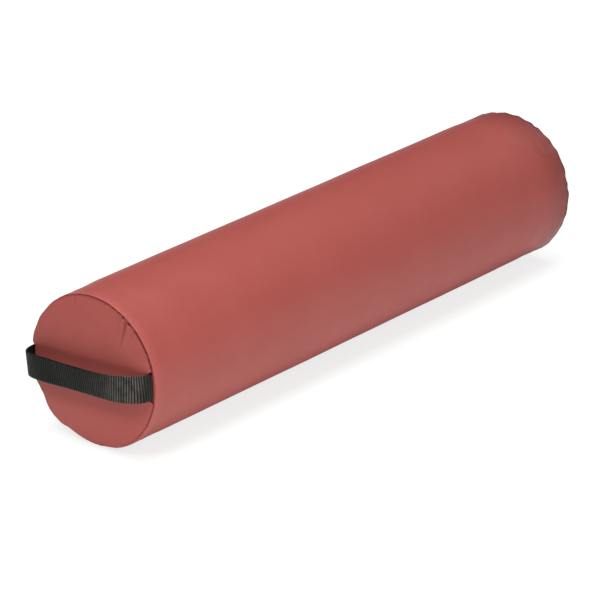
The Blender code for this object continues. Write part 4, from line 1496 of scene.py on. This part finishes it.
def pull():
    """The flat tab of the slider, with an eye round the bail."""
    bar = PULL_THICKNESS / 2
    eye_half, eye_end = pull_eye()
    hole = [(bar, -eye_half), (bar, eye_half), (eye_end, eye_half), (eye_end, -eye_half)]
    shape = bmesh.new()
    for outline in (pull_outline(), hole):
        ring = [shape.verts.new((length, across, -bar)) for length, across in outline]
        for pair in zip(ring, ring[1:] + ring[:1]):
            shape.edges.new(pair)
    bmesh.ops.triangle_fill(shape, edges=shape.edges, use_beauty=True, use_dissolve=False)
    grown = bmesh.ops.extrude_face_region(shape, geom=list(shape.faces))["geom"]
    top = [item for item in grown if isinstance(item, bmesh.types.BMVert)]
    bmesh.ops.translate(shape, vec=(0, 0, 2 * bar), verts=top)
    bent = [edge for edge in shape.edges if edge.calc_face_angle(0) > 0.5]
    rims = [edge for edge in bent if abs(edge.verts[0].co.z - edge.verts[1].co.z) < 1e-6]
    round_edges(shape, rims, 0.28 * MM, 3)
    bmesh.ops.recalc_face_normals(shape, faces=shape.faces)
    standing, tilted = Matrix.Rotation(math.pi / 2, 4, "X"), Matrix.Rotation(-PULL_TILT, 4, "Z")
    bmesh.ops.transform(shape, matrix=Matrix.Translation(PULL_HINGE) @ tilted @ standing, verts=shape.verts)
    obj = add_piece("pull_tab", shape, "zip_metal", "pull", ["zip_pull"])
    obj.data.set_sharp_from_angle(angle=math.radians(35))


def zip_stops():
    """Crimped metal blocks at the ends of the teeth."""
    for node in ("zip_top_stop_upper", "zip_top_stop_lower", "zip_bottom_stop"):
        low, high = (Vector(corner) - middle_point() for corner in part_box(node))
        shape = bmesh.new()
        block(shape, low, high, 0.4 * MM)
        add_piece(node.replace("zip_", "") + "_crimp", shape, "zip_metal", replaced=[node])


def zip_parts():
    for side in (1, -1):
        zip_row(side)
    slider()
    bail()
    pull()
    zip_stops()
    for node in ("zip_tape_upper", "zip_tape_lower"):
        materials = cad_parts[node].data.materials
        materials.clear()
        materials.append(MATERIALS["zip_tape"])


# The foam


def foam_rows():
    """(X, radius) of each row of the foam's surface, from the middle of one end to that of the other."""
    gap = VINYL + FOAM_GAP
    start = SEAM_X - FAR_SHOULDER
    radii = [share * FOAM_EDGE for share in (0.0, 0.2, 0.45, 0.75, 1.0)]
    half = [(SEAM_X + FOLD_RADIUS + crown(radius) - 2 * gap, radius) for radius in radii]
    half.append((FOAM_FACE, FOAM_EDGE))
    half += [(along, TUBE_RADIUS - gap) for along in (FOAM_FACE, SEAM_X - NEAR_SHOULDER)]
    half += [(along, TUBE_RADIUS - gap) for along in spaced(start, 0, 12 * MM)]
    return half + [(0.0, TUBE_RADIUS - gap)] + [(-along, radius) for along, radius in reversed(half)]


def foam_columns():
    """Arc length, from the zip's middle, of each column of the foam's surface: finer beside the zip."""
    half = spaced(0, 20 * MM, 1 * MM) + spaced(20 * MM, WHOLE_ARC / 2, 4 * MM) + [WHOLE_ARC / 2]
    return [-arc for arc in half[:0:-1]] + half


def foam_place(along, arc, radius):
    """X and radius of a point of the foam, below the relief of the cover and the channel behind the zip."""
    turn = arc / TUBE_RADIUS % (2 * math.pi)
    if radius > FOAM_EDGE:
        point = at_turn(along, radius, arc / TUBE_RADIUS)
        sunk = min(0.0, side_relief(along, turn, point))
        radius = shoulder_radius(along, turn) + sunk - VINYL - FOAM_GAP - 0.2 * MM
    along += pulled_back(along, turn) * smooth_step(40 * MM, 10 * MM, SIDE_END - abs(along))
    if abs(along) < SEAM_X - FAR_SHOULDER - 2 * MM and abs(arc) < WINDOW_WIDTH + HEM_WIDTH + 0.3 * MM:
        radius = min(radius, tape_low.y - 0.5 * MM)
    if abs(along) < stop_low.x and abs(arc) < WINDOW_WIDTH:
        radius = slider_low.y - 0.3 * MM
    return along, radius


def foam_core():
    """The foam inside the cover: crowned ends and a channel behind the zip."""
    shape, placed = grid_sheet(foam_rows(), foam_columns())
    for vertex, (along, radius), arc in placed:
        along, radius = foam_place(along, arc, radius)
        vertex.co = at_turn(along, radius, arc / TUBE_RADIUS)
    bmesh.ops.remove_doubles(shape, verts=shape.verts, dist=1e-6)
    bmesh.ops.recalc_face_normals(shape, faces=shape.faces)
    obj = add_piece("foam_filling", shape, "core_foam", replaced=["foam_core"])


# Floor and light


def floor_material():
    """Pale floor: near white where it is seen, with its shadow kept and a painted shadow near the bolster
    from ambient occlusion, and plain where light is thrown back.
    """
    material, tree, shader = new_material("floor")
    lit, seen_colour = (0.9, 0.9, 0.9, 1), (0.24, 0.28, 0.27, 1)
    shader.inputs["Roughness"].default_value = 0.9
    shader.inputs["Specular IOR Level"].default_value = 0.0
    shader.inputs["Emission Color"].default_value = (1, 1, 1, 1)
    rays = new_node(tree, "ShaderNodeLightPath").outputs
    seen = maths(tree, "MAXIMUM", rays["Is Camera Ray"], rays["Is Glossy Ray"])
    seen = maths(tree, "MAXIMUM", seen, rays["Is Transmission Ray"])
    plug(tree, mix_colours(tree, seen, lit, seen_colour), shader.inputs["Base Color"])
    # Painted shadow: ambient occlusion darkens the floor's glow near the bolster, more in reflections than
    # where the camera sees it.
    near = new_node(tree, "ShaderNodeAmbientOcclusion", samples=8)
    near.inputs["Distance"].default_value = 60 * MM
    open_air = near.outputs["AO"]
    # The part left of the near end is dark in reflections, which keeps the handle black
    past_end = remap(tree, object_place(tree)["X"], -450 * MM, -330 * MM, 0.1, 1.0)
    reflected = maths(tree, "MULTIPLY", remap(tree, open_air, 0.2, 0.8, 0.1, 0.88), past_end)
    straight = remap(tree, open_air, 0.3, 0.9, 0.78, 0.88)
    glow = remap(tree, rays["Is Camera Ray"], 0.0, 1.0, reflected, straight)
    plug(tree, maths(tree, "MULTIPLY", seen, glow), shader.inputs["Emission Strength"])
    return material


def add_floor():
    shape = bmesh.new()
    bmesh.ops.create_grid(shape, x_segments=1, y_segments=1, size=6)
    bmesh.ops.translate(shape, vec=(0, 0, -0.05 * MM), verts=shape.verts)
    mesh = make_mesh("floor", shape)
    mesh.materials.append(floor_material())
    obj = link_object("floor", mesh)
    obj.visible_shadow = False
    obj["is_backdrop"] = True


def add_world():
    """White where the camera sees it, and faint light on the bolster."""
    world = bpy.data.worlds.new("studio")
    bpy.context.scene.world = world
    world.use_nodes = True
    tree = world.node_tree
    rays = new_node(tree, "ShaderNodeLightPath").outputs
    seen = maths(tree, "MAXIMUM", rays["Is Camera Ray"], rays["Is Transmission Ray"])
    background = tree.nodes["Background"]
    background.inputs["Color"].default_value = (1, 1, 1, 1)
    plug(tree, remap(tree, seen, 0.0, 1.0, 0.03, 1.0), background.inputs["Strength"])


def add_lamp(name, azimuth, elevation, width, watts, height=None):
    """A soft lamp, aimed at the middle of the bolster. Azimuth 0 is in front of it, at -Y."""
    data = bpy.data.lights.new(name, "AREA")
    data.shape = "RECTANGLE"
    data.size = width
    data.size_y = height or width
    data.energy = watts
    obj = link_object(name, data)
    turn, lift = math.radians(azimuth), math.radians(elevation)
    away = Vector((math.sin(turn) * math.cos(lift), -math.cos(turn) * math.cos(lift), math.sin(lift)))
    obj.location = middle_point() + away * LAMP_DISTANCE
    obj.rotation_euler = away.to_track_quat("Z", "Y").to_euler()
    obj.visible_camera = False
    return obj


def add_lights():
    add_lamp("left_soft_box", -78, 45, 0.5, 12.5)
    add_lamp("top_soft_box", 0, 88, 1.4, 26)
    add_lamp("middle_soft_box", -35, 28, 0.6, 6)
    add_lamp("front_soft_box", -5, 8, 0.6, 4.5)
    add_lamp("rib_strip", -65, -6, 1.4, 4, height=0.4)
    add_lamp("under_light", -60, -37, 0.5, 3).visible_glossy = False
    add_lamp("back_soft_box", 188, 40, 0.8, 5)
    add_lamp("end_soft_box", 92, 12, 0.8, 5)


def main():
    add_camera()
    side_cover()
    end_cover("near_end_cover", -1, NEAR_GATHERS, "end_panel_near")
    end_cover("far_end_cover", 1, FAR_GATHERS, "end_panel_far")
    sewing()
    handle()
    zip_parts()
    foam_core()
    add_floor()
    add_world()
    add_lights()
    bpy.context.scene.view_settings.view_transform = "Standard"
    [[list(corner) for corner in box] for box in (cad_box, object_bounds())]


main()
